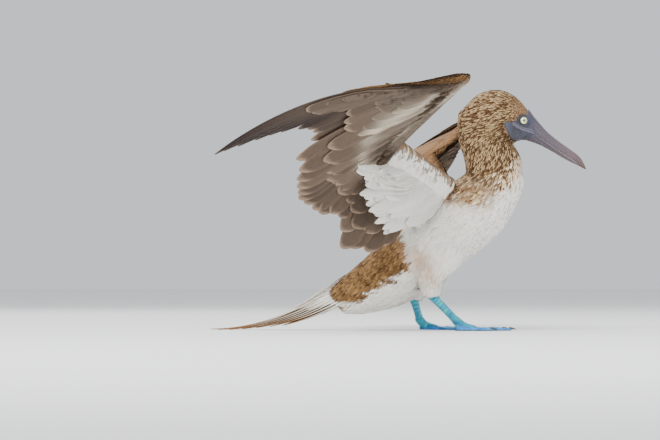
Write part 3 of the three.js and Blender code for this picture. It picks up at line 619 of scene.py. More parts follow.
def ripple(points, size, seed=0):
    """A soft random field from about -1 to 1, with blotches of about the given size."""
    source = np.random.default_rng(seed)
    total = 0
    for _ in range(6):
        wave = unit(source.normal(size=3)) * (2 * math.pi / size) * source.uniform(0.5, 1.3)
        total = total + np.sin(points @ wave + source.uniform(0, 6.28))
    return total / 3


# The lower rim of the brown flank: distance back along the torso and height over its line.
FLANK_RIM = [(18, 14), (28, -2), (42, -20), (76, -19), (101, -13), (143, -9), (160, -4)]
# The lower rim of the neck's streaks: x and z.
STREAK_RIM = [(60, 195), (84, 192), (112, 186), (135, 192), (155, 214), (172, 240), (186, 252)]
# How far the neck's colours reach to either side, and how many of its feathers may be rusty.
NECK_REACH = 60
RUST_SHARE = 0.85


def torso_place(points):
    """Distance back along the torso, height over its line, and how far out: 1 is the torso's surface."""
    away = points - TORSO["start"]
    along, up = away @ TORSO["along"], away @ TORSO["up"]
    _, top, bottom, half = column_at(TORSO_PROFILE, along).T
    out = np.hypot(points[:, 1] / half, (up - (top + bottom) / 2) / ((top - bottom) / 2))
    return along, up, out


def over(below, above, share):
    return mix(below, above, np.asarray(share).reshape(-1, 1))


def chance(points, odds):
    """True at random places, as often as the odds say."""
    return RANDOM.random(len(points)) < odds


def blended(base, tip, share):
    """Colours for the points of small feathers, from one at each root and tip and a share for each point."""
    repeat = len(share) // len(base)
    return mix(np.repeat(base, repeat, 0), np.repeat(tip, repeat, 0), share[:, None])


def brown_parts(points, fine):
    """How brown the flank, the rump and the mantle between the wings are, and their two mottled colours."""
    _, y, z = points.T
    along, up, out = torso_place(points)
    spread = ripple(points, 26, 1)
    edge = 8 * spread
    rim = np.interp(along, *zip(*FLANK_RIM)) + 0.5 * edge + 5 * ripple(points, 7, 6)
    flank = smooth(-5, 5, up - rim) * smooth(14, 26, along + 0.6 * edge) * smooth(158, 140, along + edge)
    mantle = smooth(14, 26, up + edge) * smooth(60, 20, along) * smooth(215, 195, z) * (np.abs(y) < 34)
    brown = np.clip(flank + mantle, 0, 1) * (out < 1.25)
    brown = brown * chance(points, 0.25 + brown)
    speckle = 0.3 + 0.35 * fine + 0.25 * ripple(points, 6, 7)[:, None] + 0.12 * spread[:, None]
    return brown, FLANK_DARK * (0.7 + 0.5 * fine), mix(FLANK_DARK, FLANK_LIGHT, np.clip(speckle, 0, 1))


def blush_part(points):
    """How strong the pinkish brown on the top of the thigh is."""
    x, y, z = points.T
    blush = smooth(32, 4, np.abs(x - 38 + 0.5 * (z - 95))) * smooth(56, 84, z) * smooth(138, 112, z)
    return blush * (np.abs(y) > 26) * np.clip(0.75 + 0.4 * ripple(points, 14, 11), 0, 1)


def streaked_parts(points, fine):
    """How streaked, creamy and rusty head and neck are, down to a slanting line with rust along its rear."""
    x, y, z = points.T
    above = z - np.interp(x, *zip(*STREAK_RIM))
    height = above + 6 * ripple(points, 26, 1)
    near = np.abs(y) < NECK_REACH
    often = smooth(-20, 22, height) * mix(1, smooth(-14, 44, height), smooth(130, 165, x))
    streaked = smooth(-20, 2, height) * near * chance(points, often)
    creamy = smooth(-26, 4, height) * smooth(60, 20, height) * near * np.clip(0.6 + 0.6 * fine[:, 0], 0, 1)
    rust = smooth(26, 8, np.abs(above - 4)) * smooth(148, 118, x) * near
    rust = rust * np.clip(0.75 + 0.6 * ripple(points, 11, 12), 0, 1) * chance(points, RUST_SHARE)
    return streaked * (1 - 0.75 * rust), creamy, rust


def coat_marks(points):
    """The colours of a small feather at its root and at its tip, by its place on the bird."""
    x, y, z = points.T
    out = torso_place(points)[2]
    fine = RANDOM.random((len(points), 1))
    base, tip = np.tile(WHITE * 0.92, (len(points), 1)), mix(WHITE, CREAM, 0.25 * fine)
    brown, dark, mottled = brown_parts(points, fine)
    base, tip = over(base, dark, brown), over(tip, mottled, brown)
    blush = blush_part(points)
    base, tip = over(base, PINK_BROWN, blush * 0.5), over(tip, PINK_BROWN, blush * 0.85)
    streaked, creamy, rust = streaked_parts(points, fine)
    base = over(base, mix(CREAM, PINK_BROWN, 0.5), creamy)
    tip = over(tip, mix(CREAM, PINK_BROWN, 0.3 * fine), creamy)
    base = over(base, mix(RUST * 0.45, RUST * 0.8, fine), rust)
    tip = over(tip, mix(RUST * 0.55, STREAK_LIGHT * 0.75, fine ** 2.6), rust * 0.95)
    base = over(base, STREAK_DARK * (0.7 + 0.5 * fine), streaked)
    light = mix(STREAK_LIGHT, STREAK_DARK, 0.9 * smooth(0.4, 0.85, fine))
    light = over(light, FOREHEAD, smooth(150, 186, x) * smooth(285, 310, z))
    tip = over(tip, light, streaked)
    on_wing = smooth(1.15, 1.5, out) * (np.abs(y) > 44) * (z > 130)
    return over(base, COVERT_BROWN * 0.6, on_wing), over(tip, COVERT_BROWN * 0.6, on_wing)


# Roots of small feathers on the skin


# How many places are tried for each one wanted, and how close two may lie, as a share of the spacing.
TRIES = 2.6
CLOSEST = 0.86


def scatter(points, faces, spacing):
    """Places on the skin at about the spacing that it asks for at each place, with their normals."""
    a, b, c = (points[faces[:, k]] for k in range(3))
    normal = np.cross(b - a, c - a)
    area = np.linalg.norm(normal, axis=1) / 2
    want = spacing((a + b + c) / 3)
    weight = np.where(want > 0, area / np.maximum(want, 0.1) ** 2, 0)
    count = int(weight.sum() * TRIES)
    chosen = RANDOM.choice(len(faces), count, p=weight / weight.sum())
    f, g = RANDOM.random((2, count, 1))
    f, g = np.where(f + g > 1, 1 - f, f), np.where(f + g > 1, 1 - g, g)
    found = a[chosen] + (b - a)[chosen] * f + (c - a)[chosen] * g
    near = want[chosen] * CLOSEST
    tree = KDTree(count)
    for i, place in enumerate(found):
        tree.insert(place, i)
    tree.balance()
    gone = np.zeros(count, bool)
    keep = []
    for i in range(count):
        if gone[i]:
            continue
        keep.append(i)
        for _, j, _ in tree.find_range(found[i], near[i]):
            gone[j] = True
    return found[keep], unit(normal[chosen[keep]])


def lie(points, normals):
    """The way small feathers point: away from the bill on the head, down the neck and back along the body."""
    z = points[:, 2]
    _, _, out = torso_place(points)
    from_bill = unit(points - vector(186, 0, 296))
    from_bill[:, 2] -= 0.25
    head = smooth(250, 282, z)[:, None]
    neck = smooth(188, 222, z)[:, None]
    legs = (smooth(1.0, 1.1, out) * smooth(118, 96, z))[:, None]
    field = mix(TORSO["along"], vector(-0.35, 0, -1), neck)
    field = mix(field, from_bill, head)
    field = mix(field, vector(-0.2, 0, -1), legs)
    return unit(field - dot(field, normals) * normals)


# Head: bare face skin, bill, eyes and lids

# The bare skin seen from the side, x and z: from behind the eye over it to the bill, and back under the chin.
BARE_FACE = [(147, 287.5), (163.5, 289.5), (166.5, 295.5), (171.5, 299.6), (176, 300.6), (180.5, 298.5),
             (189, 298.5), (214, 290), (200, 255), (156, 266), (154.5, 272), (150, 281.5)]
# The line of the gape, x and z.
GAPE = [(160, 286.8), (172, 280), (184.5, 277.2), (206, 265)]
# The face skin's stretch of the head, and how much it stands out on the bare part and beyond it.
FACE_STRETCH = (138, 188)
FACE_GROWTH = (-0.3, -5.0)


def away_from_line(points, line):
    """How far points lie from a line through corners in the same plane."""
    best = np.full(points.shape[:-1], np.inf)
    for a, b in zip(line[:-1], line[1:]):
        a, b = vector(*a), vector(*b)
        t = np.clip(((points - a) @ (b - a)) / ((b - a) @ (b - a)), 0, 1)
        best = np.minimum(best, np.linalg.norm(points - a - t[..., None] * (b - a), axis=-1))
    return best


def inside_outline(points, outline):
    """Which points lie inside a closed outline in the same plane."""
    inside = np.zeros(points.shape[:-1], bool)
    for (ax, ay), (bx, by) in zip(outline, outline[1:] + outline[:1]):
        crosses = (ay > points[..., 1]) != (by > points[..., 1])
        at = ax + (points[..., 1] - ay) * (bx - ax) / (by - ay if by != ay else 1e-9)
        inside ^= crosses & (points[..., 0] < at)
    return inside


def outside_face(points):
    """How far a point lies outside the bare face, seen from the side, and less than nothing inside it."""
    flat = points[..., [0, 2]]
    distance = away_from_line(flat, BARE_FACE + BARE_FACE[:1])
    return np.where(inside_outline(flat, BARE_FACE), -distance, distance)


def swell_round_eyes(plain, grow):
    """Adds a swelling round each eye, with a groove outside it and a hollow for the eye itself."""
    for side in (1, -1):
        axis, place, _ = eye_frame(side)
        offset = plain - place
        radial = np.linalg.norm(offset - dot(offset, axis) * axis, axis=-1)
        near = (plain[..., 1] * side > 4) * smooth(26, 16, np.linalg.norm(offset, axis=-1))
        grow = grow + near * (1.2 * np.exp(-((radial - 7.6) / 1.3) ** 2) - 2.4 * smooth(6.6, 4.6, radial))
        grow = grow - near * 0.35 * np.exp(-((radial - 10.2) / 0.8) ** 2)
    return grow


def face_form():
    """Bare skin over the front of the head. Beyond the bare part it dives under the feathered skin."""
    columns = column_at(HEAD_PROFILE, np.linspace(*FACE_STRETCH, 110))
    along, top, bottom, half = columns.T[:, :, None]
    angle = np.linspace(0, 2 * math.pi, 200, endpoint=False)
    along = along * np.ones(len(angle))
    middle, reach = (top + bottom) / 2, (top - bottom) / 2
    plain = in_frame(HEAD, along, middle + reach * np.sin(angle), half * np.cos(angle))
    grow = swell_round_eyes(plain, mix(*FACE_GROWTH, smooth(0, 4.5, outside_face(plain))))
    # The gape is a fine groove between two low folds.
    gape = away_from_line(plain[..., [0, 2]], GAPE)
    grow = grow + 0.7 * np.exp(-((gape - 1.6) / 1.0) ** 2) - 0.9 * np.exp(-(gape / 0.7) ** 2)
    grow = grow + 0.12 * ripple(plain.reshape(-1, 3), 3.4, 5).reshape(grow.shape)
    height, side = middle + (reach + grow) * np.sin(angle), (half + grow) * np.cos(angle)
    points, faces = loft(in_frame(HEAD, along, height, side))
    pale = np.exp(-((away_from_line(points[:, [0, 2]], GAPE) - 1.1) / 0.8) ** 2)
    return points, faces, dict(pale=pale)


def mouth_height(along):
    line = np.array(MOUTH_LINE)
    return np.interp(along, line[:, 0], line[:, 1])


def bill_form(upper):
    """One half of the bill: a section that ends flat at the mouth line, with the groove along its side."""
    stations, arc = 90, 40
    first, last = BILL_PROFILE[0][0], BILL_PROFILE[-1][0]
    along = mix(first, last, np.linspace(0, 1, stations) ** 0.9)
    _, top, bottom, half = column_at(BILL_PROFILE, along).T
    middle, reach = (top + bottom) / 2, (top - bottom) / 2
    mouth = np.clip(mouth_height(along), bottom + 0.25 * reach, top - 0.25 * reach)
    low = np.arcsin(np.clip((mouth - middle) / reach, -0.98, 0.98))
    share = np.linspace(0, 1, arc)
    quarter = math.pi / 2
    angle = mix(low[:, None], quarter if upper else -quarter, share)
    inset = np.ones_like(angle)
    # The upper half's side groove fades out before both ends, and a fine one follows the mouth.
    if upper:
        fade = (smooth(-12, 0, along) * smooth(88, 70, along))[:, None]
        inset = inset - fade * 0.07 * np.exp(-((share - 0.42) / 0.06) ** 2)
        inset = inset - 0.05 * np.exp(-((share - 0.05) / 0.05) ** 2)
    else:
        inset = inset - 0.06 * np.exp(-((share - 0.3) / 0.08) ** 2)
    height = middle[:, None] + reach[:, None] * np.sin(angle) * inset
    side = half[:, None] * np.cos(angle) * inset
    gap = 0.22 if upper else -0.22
    height = height + gap * (1 - share)
    ring_height = there_and_back(height)
    ring_side = np.concatenate([side, -side[:, ::-1]], 1)
    tip = smooth(80, 98, along)[:, None]
    ring_height = ring_height - tip * (1.4 if upper else 0.6)
    rings = in_frame(BILL, along[:, None] * np.ones(ring_side.shape[1]), ring_height, ring_side)
    points, faces = loft(rings)
    ridge = with_ends(there_and_back(np.tile(share if upper else 0 * share, (stations, 1))))
    t = with_ends(np.repeat((along - first) / (last - first), 2 * arc), 0, 1)
    return points, faces, dict(along=t, ridge=ridge)


def turned(points, axis, place):
    """Points of a form made about +Z, turned to an axis and moved to a place."""
    z = unit(axis)
    x = unit(np.cross((0, 0, 1), z))
    y = np.cross(z, x)
    return points[..., :1] * x + points[..., 1:2] * y + points[..., 2:] * z + place


def eye_form(side):
    """The eyeball as rings from its back to the middle of its front, where the cornea bulges a little."""
    axis, _, centre = eye_frame(side)
    tall = np.linspace(math.pi, 0, 60)
    around = np.linspace(0, 2 * math.pi, 64, endpoint=False)
    reach = EYE_RADIUS * (1 + 0.035 * np.exp(-(tall / 0.5) ** 2))
    radius, height = (reach * np.sin(tall))[:, None], (reach * np.cos(tall))[:, None]
    rings = np.stack([radius * np.cos(around), radius * np.sin(around), height * np.ones(64)], -1)
    points, faces = loft(turned(rings, axis, centre))
    return points, faces, dict(ring=with_ends(np.repeat(radius, 64)))


def lid_form(side):
    """The ring of the lids, thicker above and behind the eye."""
    axis, place, _ = eye_frame(side)
    around = np.linspace(0, 2 * math.pi, 72, endpoint=False)
    tube = np.linspace(0, 2 * math.pi, 14, endpoint=False)
    swell = 0.85 + 0.25 * np.sin(around)[:, None] + 0.06 * np.sin(9 * around)[:, None]
    radius = IRIS_RADIUS + 0.75 + swell * 0.9 * np.cos(tube)
    rings = np.stack([radius * np.cos(around)[:, None], radius * np.sin(around)[:, None],
                      swell * 0.85 * np.sin(tube) + 0.25], -1)
    count = len(around)
    faces = grid_faces(count, len(tube))
    join = grid_faces(2, len(tube))
    join = np.where(join < len(tube), join + (count - 1) * len(tube), join - len(tube))
    points = turned(rings, axis, place).reshape(-1, 3)
    return points, outwards(points, np.concatenate([faces, join])), dict(pale=np.zeros(len(points)))


# Legs and feet


def leg_form(leg):
    """The tarsus, bent at the heel into the top of the foot."""
    ankle, heel = vector(*leg["ankle"]), vector(*leg["heel"])
    turn = math.radians(leg["turn"])
    ahead = vector(math.cos(turn), math.sin(turn), 0)
    sole = heel * (1, 1, 0)
    knots = [mix(ankle, heel, share) for share in (-0.06, 0.3, 0.75, 0.95)]
    knots += [sole + ahead * 8 + vector(0, 0, 6.6), sole + ahead * 24 + vector(0, 0, 4.2)]
    halves = [(6.7, 4.9), (5.4, 3.9), (5.3, 3.8), (6.2, 4.6), (5.4, 5.2), (2.6, 3.6)]
    stations, sides = 90, 40
    steps = np.linspace(0, 1, stations)
    read = row_at([(*knot, *half) for knot, half in zip(knots, halves)], steps)
    points, faces = loft(limb(read[:, :3], read[:, 3:], sides))
    points[:, 2] = np.maximum(points[:, 2], 0.3)
    height = np.linalg.norm(heel - ankle)
    return points, faces, dict(along=with_ends(np.repeat(steps * height, sides), 0, height))


TOE_TURNS = [turn for turn, _ in TOES]
TOE_LENGTHS = [length for _, length in TOES]
TOE_BONES = (3, 3, 3, 2)
# A toe's half width and height, each at the heel and at the toe's end.
TOE_HALF = (4.6, 2.9)
TOE_HEIGHT = (9.5, 4.3)
WEB_TOP = 2.3
WEB_THICKNESS = 1.3


def toe_tops(angle, far):
    """Heights of the toes: rounded, swollen at the joints, and running out softly into the webs."""
    top = np.zeros_like(far)
    for (turn, full), bones in zip(TOES, TOE_BONES):
        share = far / full
        offset = np.abs(np.sin(angle - math.radians(turn))) * far
        joint = 1 + 0.16 * np.cos(share * 2 * math.pi * bones) * smooth(6, 16, far)
        half = mix(*TOE_HALF, np.clip(share, 0, 1)) * joint
        height = mix(*TOE_HEIGHT, smooth(0, 30, far)) * joint * mix(1, 0.8, smooth(0.7, 1, share))
        ridge = height * np.sqrt(np.clip(1 - (offset / half) ** 2, 0, 1))
        hem = height * 0.42 * np.exp(-np.maximum(offset - half * 0.7, 0) / 3.2)
        top = np.maximum(top, np.maximum(ridge, hem))
    return top


def web_tops(angle, far, nearest):
    """Heights of the webs, with folds that run outwards and fine wrinkles across them."""
    folds = np.sin(angle * 26) * 0.42 * smooth(12, 40, far) + np.sin(far / 3.1 + 4 * np.sin(angle * 5)) * 0.22
    place = np.stack([far * np.cos(angle), far * np.sin(angle), 0 * far], -1)
    wrinkle = ripple(place.reshape(-1, 3), 7, 9).reshape(far.shape)
    web = WEB_TOP + folds * smooth(3, 9, nearest)[:, None] + 0.3 * wrinkle + 5 * np.exp(-far / 9)
    return np.maximum(web, 1.0)


def foot_form(leg):
    """Four toes joined by webs, as a height field round the heel, from its outer toe to its inner one."""
    turns = np.linspace(TOE_TURNS[0] - 4, TOE_TURNS[-1] + 4, 190)
    reach = np.linspace(0.03, 1, 84)
    length = np.interp(turns, TOE_TURNS, TOE_LENGTHS)
    nearest = np.min(np.abs(turns[:, None] - np.array(TOE_TURNS)), 1)
    between = np.zeros(len(turns))
    for a, b in zip(TOE_TURNS[:-1], TOE_TURNS[1:]):
        share = np.clip((turns - a) / (b - a), 0, 1)
        between = between + np.sin(math.pi * share) * ((turns > a) & (turns < b))
    # The web's edge hangs a little back between two toes.
    edge = (length - CLAW_LENGTH * 0.75) * (1 - 0.09 * between) - smooth(1.5, 5, nearest) * 3
    far = edge[:, None] * reach
    angle = np.radians(turns)[:, None]
    web = web_tops(angle, far, nearest)
    top = np.maximum(toe_tops(angle, far), web)
    on_toe = top > web + 0.8
    under = np.where(on_toe | (far < 10), 0, np.maximum(top - WEB_THICKNESS, 0.15))
    turn = np.radians(leg["turn"]) + leg["side"] * angle
    heel = vector(*leg["heel"])
    x, y = heel[0] + far * np.cos(turn), heel[1] + far * np.sin(turn)
    upper, lower = np.stack([x, y, top], -1), np.stack([x, y, under], -1)
    points, faces = loft(np.concatenate([upper, lower[:, ::-1]], 1))
    # The under side takes the toes' tone from its rim inwards, so that the rim of a web has it too.
    toe = with_ends(np.concatenate([on_toe, on_toe], 1).astype(float))
    return points, faces, dict(along=with_ends(there_and_back(far)), toe=toe)


def claw_forms(leg):
    """A bent claw at the end of each toe, rooted a little inside it."""
    full = CLAW_LENGTH * 1.25
    meshes = []
    for turn, length in TOES:
        angle = math.radians(leg["turn"] + leg["side"] * turn)
        way = vector(math.cos(angle), math.sin(angle), 0)
        start = vector(*leg["heel"]) * (1, 1, 0) + way * (length - full)
        t = np.linspace(0, 1, 16)
        rise = 3 + 0.9 * t - 2.6 * t ** 3
        path = start + way * (t[:, None] * full) + vector(0, 0, 1) * rise[:, None]
        half = mix(1.9, 0.35, t ** 1.4)[:, None] * np.ones(2)
        meshes.append(loft(limb(path, half * (1, 0.85), 14)))
    return combine(meshes)


# Wings


# Tertials, secondaries and primaries. There is a tertial more than places for them, so they lie closer.
FLIGHT_PLACES = np.concatenate([np.linspace(0, 3.3, 5), np.linspace(4.3, 14.4, 11),
                                np.arange(FIRST_PRIMARY, LAST_FEATHER + 1)])
# Rows of coverts as vanes: the stretch of the flight feather under them, the lift at root and tip, the width
# against that feather's, how much place each takes, and the share of the stretch left at the wing's tip.
COVERT_ROWS = [
    dict(side=1, span=(0.08, 0.47), lift=(3.6, 3.4), width=0.8, step=0.8, hand=0.62),
    dict(side=1, span=(0.05, 0.30), lift=(5.2, 4.9), width=0.66, step=0.6, hand=0.62),
    dict(side=-1, span=(0.05, 0.78), lift=(-3.2, -2.8), width=0.98, step=0.95, hand=0.66),
    dict(side=-1, span=(0.15, 0.55), lift=(-4.2, -4.0), width=0.66, step=0.55, hand=0.7),
    dict(side=-1, span=(0.13, 0.37), lift=(-5.2, -5.0), width=0.5, step=0.42, hand=0.8),
]


def vane_tone(t, u, base, edge, tip, rim=0.8, end=0.93, sides=0.35):
    """A feather's colours: its web, a paler fringe that is faint along its sides, and its end."""
    fringe = np.clip(sides * smooth(rim, 1, np.abs(u)) + smooth(end, 1, t + 0.04 * u * u), 0, 1)[:, None]
    tone = mix(base, tip, smooth(0.35, 1, t)[:, None])
    return mix(tone, edge, fringe)


# How far the stack of the hand's feathers is lowered against the arm's.
HAND_DROP = 2.5


def stacked_line(wing, place, flowing=0.0):
    """A feather's line on its level of the stack. Flowing ones keep the arm's level over the wrist."""
    dorsal = feather_frame(wing, place)[4]
    first, last = (TERTIALS, FIRST_PRIMARY) if place < FIRST_PRIMARY else (FIRST_PRIMARY, LAST_FEATHER)
    level = STACKING * ((first + last) / 2 - place)
    if place >= FIRST_PRIMARY:
        level = level - HAND_DROP
        arm_level = STACKING * (TERTIALS - FIRST_PRIMARY) / 2
        level = mix(level, arm_level, flowing * smooth(FIRST_PRIMARY + 4, FIRST_PRIMARY, place))
    return [point + dorsal * level for point in flight_line(wing, place)], dorsal


def flight_colours(place, t, u, seed):
    """Colours of a flight feather, darker on the hand."""
    hand = smooth(FIRST_PRIMARY - 1, FIRST_PRIMARY + 4, place)
    base = mix(UNDER_GREY * (0.76 + 0.35 * seed), UNDER_GREY * 0.62, hand)
    tip = mix(UNDER_GREY * (0.68 + 0.35 * seed), TIP_DARK * 0.75, hand)
    edge = mix(UNDER_EDGE, UNDER_GREY * 0.75, hand)
    return vane_tone(t, u, base, edge, tip, 0.86, 0.96, 0.22)


# Bands on the wing's under side, as lines through places along the wing and distances behind its bones.
PLACE_STEP = 14
PALE_FRONT_BAND = [(14.4, -24), (12.4, -10), (11.6, 0), (9.8, 14), (8.9, 30)]
DARK_BAND = [(15, -2), (12.1, 0), (11.1, 12), (10.6, 42), (10, 70), (8, 50), (5, 8), (3, -15)]
PALE_REAR_BAND = [(14.6, 12), (13.8, 53), (13.5, 93), (12.5, 121), (9.3, 105), (7.5, 85), (6, 60)]


def under_tone(place, behind, points, seed):
    """Colours of the wing's under side before any fringe, by place along it and distance behind the bones."""
    place, behind, seed = (np.broadcast_to(v, len(points)).astype(float) for v in (place, behind, seed))
    spot = np.stack([place * PLACE_STEP, behind], -1)

    def band(line, width):
        away = away_from_line(spot, [(number * PLACE_STEP, distance) for number, distance in line])
        return np.exp(-(away / width) ** 2)[:, None]

    mottle = ripple(points, 8, 3)[:, None]
    arm = smooth(FIRST_PRIMARY + 1.5, FIRST_PRIMARY - 0.5, place)[:, None]
    vary = seed[:, None]
    tone = mix(UNDER_GREY, BAND_PALE, 0.15) * (0.8 + 0.3 * vary)
    rear = band(PALE_REAR_BAND, np.interp(place, [6, 10, 14], [10, 9, 8]))
    tone = mix(tone, BAND_PALE * (0.95 + 0.2 * vary), np.maximum(rear, band(PALE_FRONT_BAND, 8)))
    dark = band(DARK_BAND, np.interp(place, [4, 9, 12, 15], [24, 16, 9, 7]))
    dark = np.clip(dark * (1.5 + 0.8 * mottle), 0, 1)
    tone = mix(tone, mix(BAND_DARK, UNDER_EDGE, 0.3 * vary ** 2) * (0.6 + 0.5 * vary), dark)
    on_hand = UNDER_GREY * (0.68 + 0.45 * vary)
    wedge = (ripple(points, 13, 8)[:, None] > 0.5) * smooth(0.45, 0.6, vary)
    on_hand = mix(on_hand, BAND_DARK * 0.6, wedge * 0.7)
    return mix(on_hand, tone, arm)


def covert_colours(row_number, place, points, behind, t, u, seed):
    """Colours of a covert in one of COVERT_ROWS, at a place along the wing."""
    if row_number < 2:
        warm = smooth(0, 6, place)
        base = mix(UPPER_BROWN, COVERT_BROWN * 0.85, warm * 0.7) * (0.8 + 0.4 * seed)
        return vane_tone(t, u, base, mix(UPPER_EDGE, COVERT_BROWN, warm), base * 1.1, 0.7, 0.9, 0.6)
    tone = under_tone(place + 0.4 * u, behind, points, seed)
    if row_number == 2:
        tone = mix(tone, UNDER_GREY * (0.74 + 0.36 * seed), smooth(0.45, 0.8, t)[:, None] * 0.8)
        return vane_tone(t, u, tone, UNDER_EDGE, tone * 0.94, 0.86, 0.95, 0.2)
    return vane_tone(t, u, tone, mix(tone, BAND_PALE, 0.3), tone, 0.85, 0.96, 0.25)


def bent_aside(line, across, amount):
    """A feather's line with its tip moved a little along the wing, as feathers never lie quite evenly."""
    root, control, tip = line
    return root, control + across * amount * 0.3, tip + across * amount


# How unevenly flight feathers lie on the arm and on the hand: millimetres aside and share of their length.
UNEVEN_ARM = (3.4, 0.028)
UNEVEN_HAND = (0.8, 0.004)


def flight_feathers(wing, bag):
    """Tertials, secondaries and primaries, each on its level of the stack."""
    for number, place in enumerate(FLIGHT_PLACES):
        line, dorsal = stacked_line(wing, place)
        narrow, wide, _ = row_at(FLIGHT_PROFILE, place / LAST_FEATHER)
        arm = place < FIRST_PRIMARY
        outline = "round" if arm else "full" if place < STEADY_FEATHER else "blade"
        aside, share = UNEVEN_ARM if arm else UNEVEN_HAND
        line = bent_aside(line, feather_frame(wing, place)[3], RANDOM.normal(0, aside))
        line = (*line[:2], mix(line[0], line[2], 1 + RANDOM.normal(-0.005, share)))
        feather = vane(line, step_outwards(wing, place), dorsal, narrow, wide, outline,
                       stations=30, thick=0.6, shaft=2.0, droop=1.6, ragged=0.05)
        seed = RANDOM.random()
        tone = flight_colours(place, feather[2], feather[3], seed)
        bag.add_vane(feather, (0.02 + 0.03 * number, 0.02), (0.026, 0.4), tone, seed)


def covert_row(wing, bag, row_number, row):
    """One of COVERT_ROWS: vanes over or under the roots of the flight feathers."""
    places = np.arange(-0.4, LAST_FEATHER - 0.2, row["step"])
    for number, place in enumerate(places + RANDOM.uniform(-0.12, 0.12, len(places)) * row["step"]):
        line, dorsal = stacked_line(wing, place, 1.0 if row["side"] < 0 else 0.0)
        narrow, wide, _ = row_at(FLIGHT_PROFILE, place / LAST_FEATHER) * row["width"]
        line = bent_aside(line, feather_frame(wing, place)[3], RANDOM.normal(0, 2))
        outer = np.clip((place - FIRST_PRIMARY) / (PRIMARIES - 1), 0, 1)
        start, end = row["span"]
        end = end * mix(1, row["hand"], outer) * RANDOM.uniform(0.94, 1.06)
        outline = "round" if row_number == 2 else "soft"
        feather = vane(line, step_outwards(wing, place), dorsal, narrow, wide, outline, (start, end),
                       row["lift"], stations=16, shaft=1.0, droop=1.2, ragged=0.08)
        points, _, t, u, _ = feather
        seed = RANDOM.random()
        behind = mix(start, end, t) * np.linalg.norm(line[2] - line[0])
        tone = covert_colours(row_number, place, points, behind, t, u, seed)
        corner = (0.02 + 0.018 * number, 0.44 + 0.11 * row_number)
        bag.add_vane(feather, corner, (0.016, 0.1), tone, seed)


def wing_vanes(wing):
    bag = Bag()
    flight_feathers(wing, bag)
    for row_number, row in enumerate(COVERT_ROWS):
        covert_row(wing, bag, row_number, row)
    return bag


# Rows of lesser coverts run from the first chord down towards the second, with a last one on the front edge.
TUFT_CHORDS = (0.62, -0.97)
TUFT_ROW_STEP = 0.066
# How much of a flight feather's place each takes.
TUFT_STEP = 0.27
# Length and width at the arm's front edge and behind it.
TUFT_LENGTHS = (11, 24)
TUFT_WIDTHS = (4.8, 8)


def arm_tufts(wing, side, skin):
    """Lesser coverts in rows over the arm, on its upper side (1) or under side (-1)."""
    bag = Bag()
    chords = np.append(np.arange(*TUFT_CHORDS, -TUFT_ROW_STEP), -1.0)
    for row, chord in enumerate(chords):
        places = np.arange(-2.9 + (row % 2) * TUFT_STEP / 2, LAST_FEATHER - 0.3, TUFT_STEP)
        places = places + RANDOM.uniform(-0.05, 0.05, len(places))
        chord_here = np.clip(chord + RANDOM.uniform(-0.03, 0.03, len(places)), -0.99, 0.7)
        root = arm_point(wing, places, chord_here, side, -1.2)
        _, _, way, across, dorsal = feather_frame(wing, places)
        # At the front edge they are turned outwards along it.
        front = smooth(-0.6, -1, chord_here)[:, None]
        way = unit(way * (1 - 0.5 * front) + RANDOM.normal(0, 0.05, way.shape) - across * 0.25 * front)
        size = mix(1, 0.62, smooth(FIRST_PRIMARY - 2, LAST_FEATHER, places))
        behind = smooth(-1, 0.6, chord_here)
        length = mix(*TUFT_LENGTHS, behind) * size * RANDOM.uniform(0.85, 1.15, len(places))
        width = mix(*TUFT_WIDTHS, behind) * mix(1, size, 0.6)
        lift = np.full(len(places), 1.2) + 0.5 * RANDOM.random(len(places))
        high = np.full(len(places), 0.03 + 0.94 * (chord + 1) / 2)
        uv = np.stack([0.02 + (places + 3) / 28 * 0.96, high], 1)
        seeds = RANDOM.random(len(places))
        points, faces, uv, values = tufts(root, way, dorsal * side, length, width, skin, lift, seeds, uv,
                                          stations=5, flare=2.0)
        base, tip = arm_tones(places, chord_here, side, seeds, root)
        bag.add(points, faces, uv, tone=blended(base, tip, smooth(0.45, 1, values["along"])), **values)
    return bag


def arm_tones(places, chord, side, seeds, root):
    """Colours at root and tip of the arm's small feathers: bands along the wing on its under side."""
    front, back, _ = arm_size(places).T
    behind = chord * np.where(chord < 0, front, back)
    seeds, place, chord = seeds[:, None], places[:, None], chord[:, None]
    if side > 0:
        warm = smooth(-1, 5, place)
        base = mix(UPPER_BROWN, COVERT_BROWN * 0.8, warm * 0.7) * (0.8 + 0.4 * seeds)
        return base, mix(UPPER_EDGE, COVERT_BROWN, warm) * (0.62 + 0.5 * seeds)
    tip = under_tone(places, behind, root, seeds[:, 0])
    front_edge = smooth(-0.8, -0.9, chord) * mix(0.75, 1, smooth(12, 15, place))
    tip = mix(tip, mix(COVERT_BROWN, UPPER_EDGE, 0.4 * seeds), front_edge)
    fleck = smooth(-0.35, -0.8, chord) * (seeds > 0.62)
    blotch = ripple(root, 22, 3)[:, None]
    near_body = smooth(4.0, 2.8, place + 0.5 * blotch) * mix(1, 0.05, smooth(-0.93, -0.985, chord))
    near_body = near_body * (1 - 0.8 * fleck)
    return mix(tip * 0.72, WHITE * 0.92, near_body), mix(tip, WHITE, near_body)


# The white fan under the arm: each layer's number of feathers and their length against the first layer's.
FAN_LAYERS = [(18, 1), (18, 0.86), (15, 0.66)]
# Places along the wing of the fan's outer and inner end, a vane's two halves, and the step to the next vane.
FAN_PLACES = (2.2, -2.9)
FAN_HALVES = (8.2, 9.0)
FAN_STEP = 14


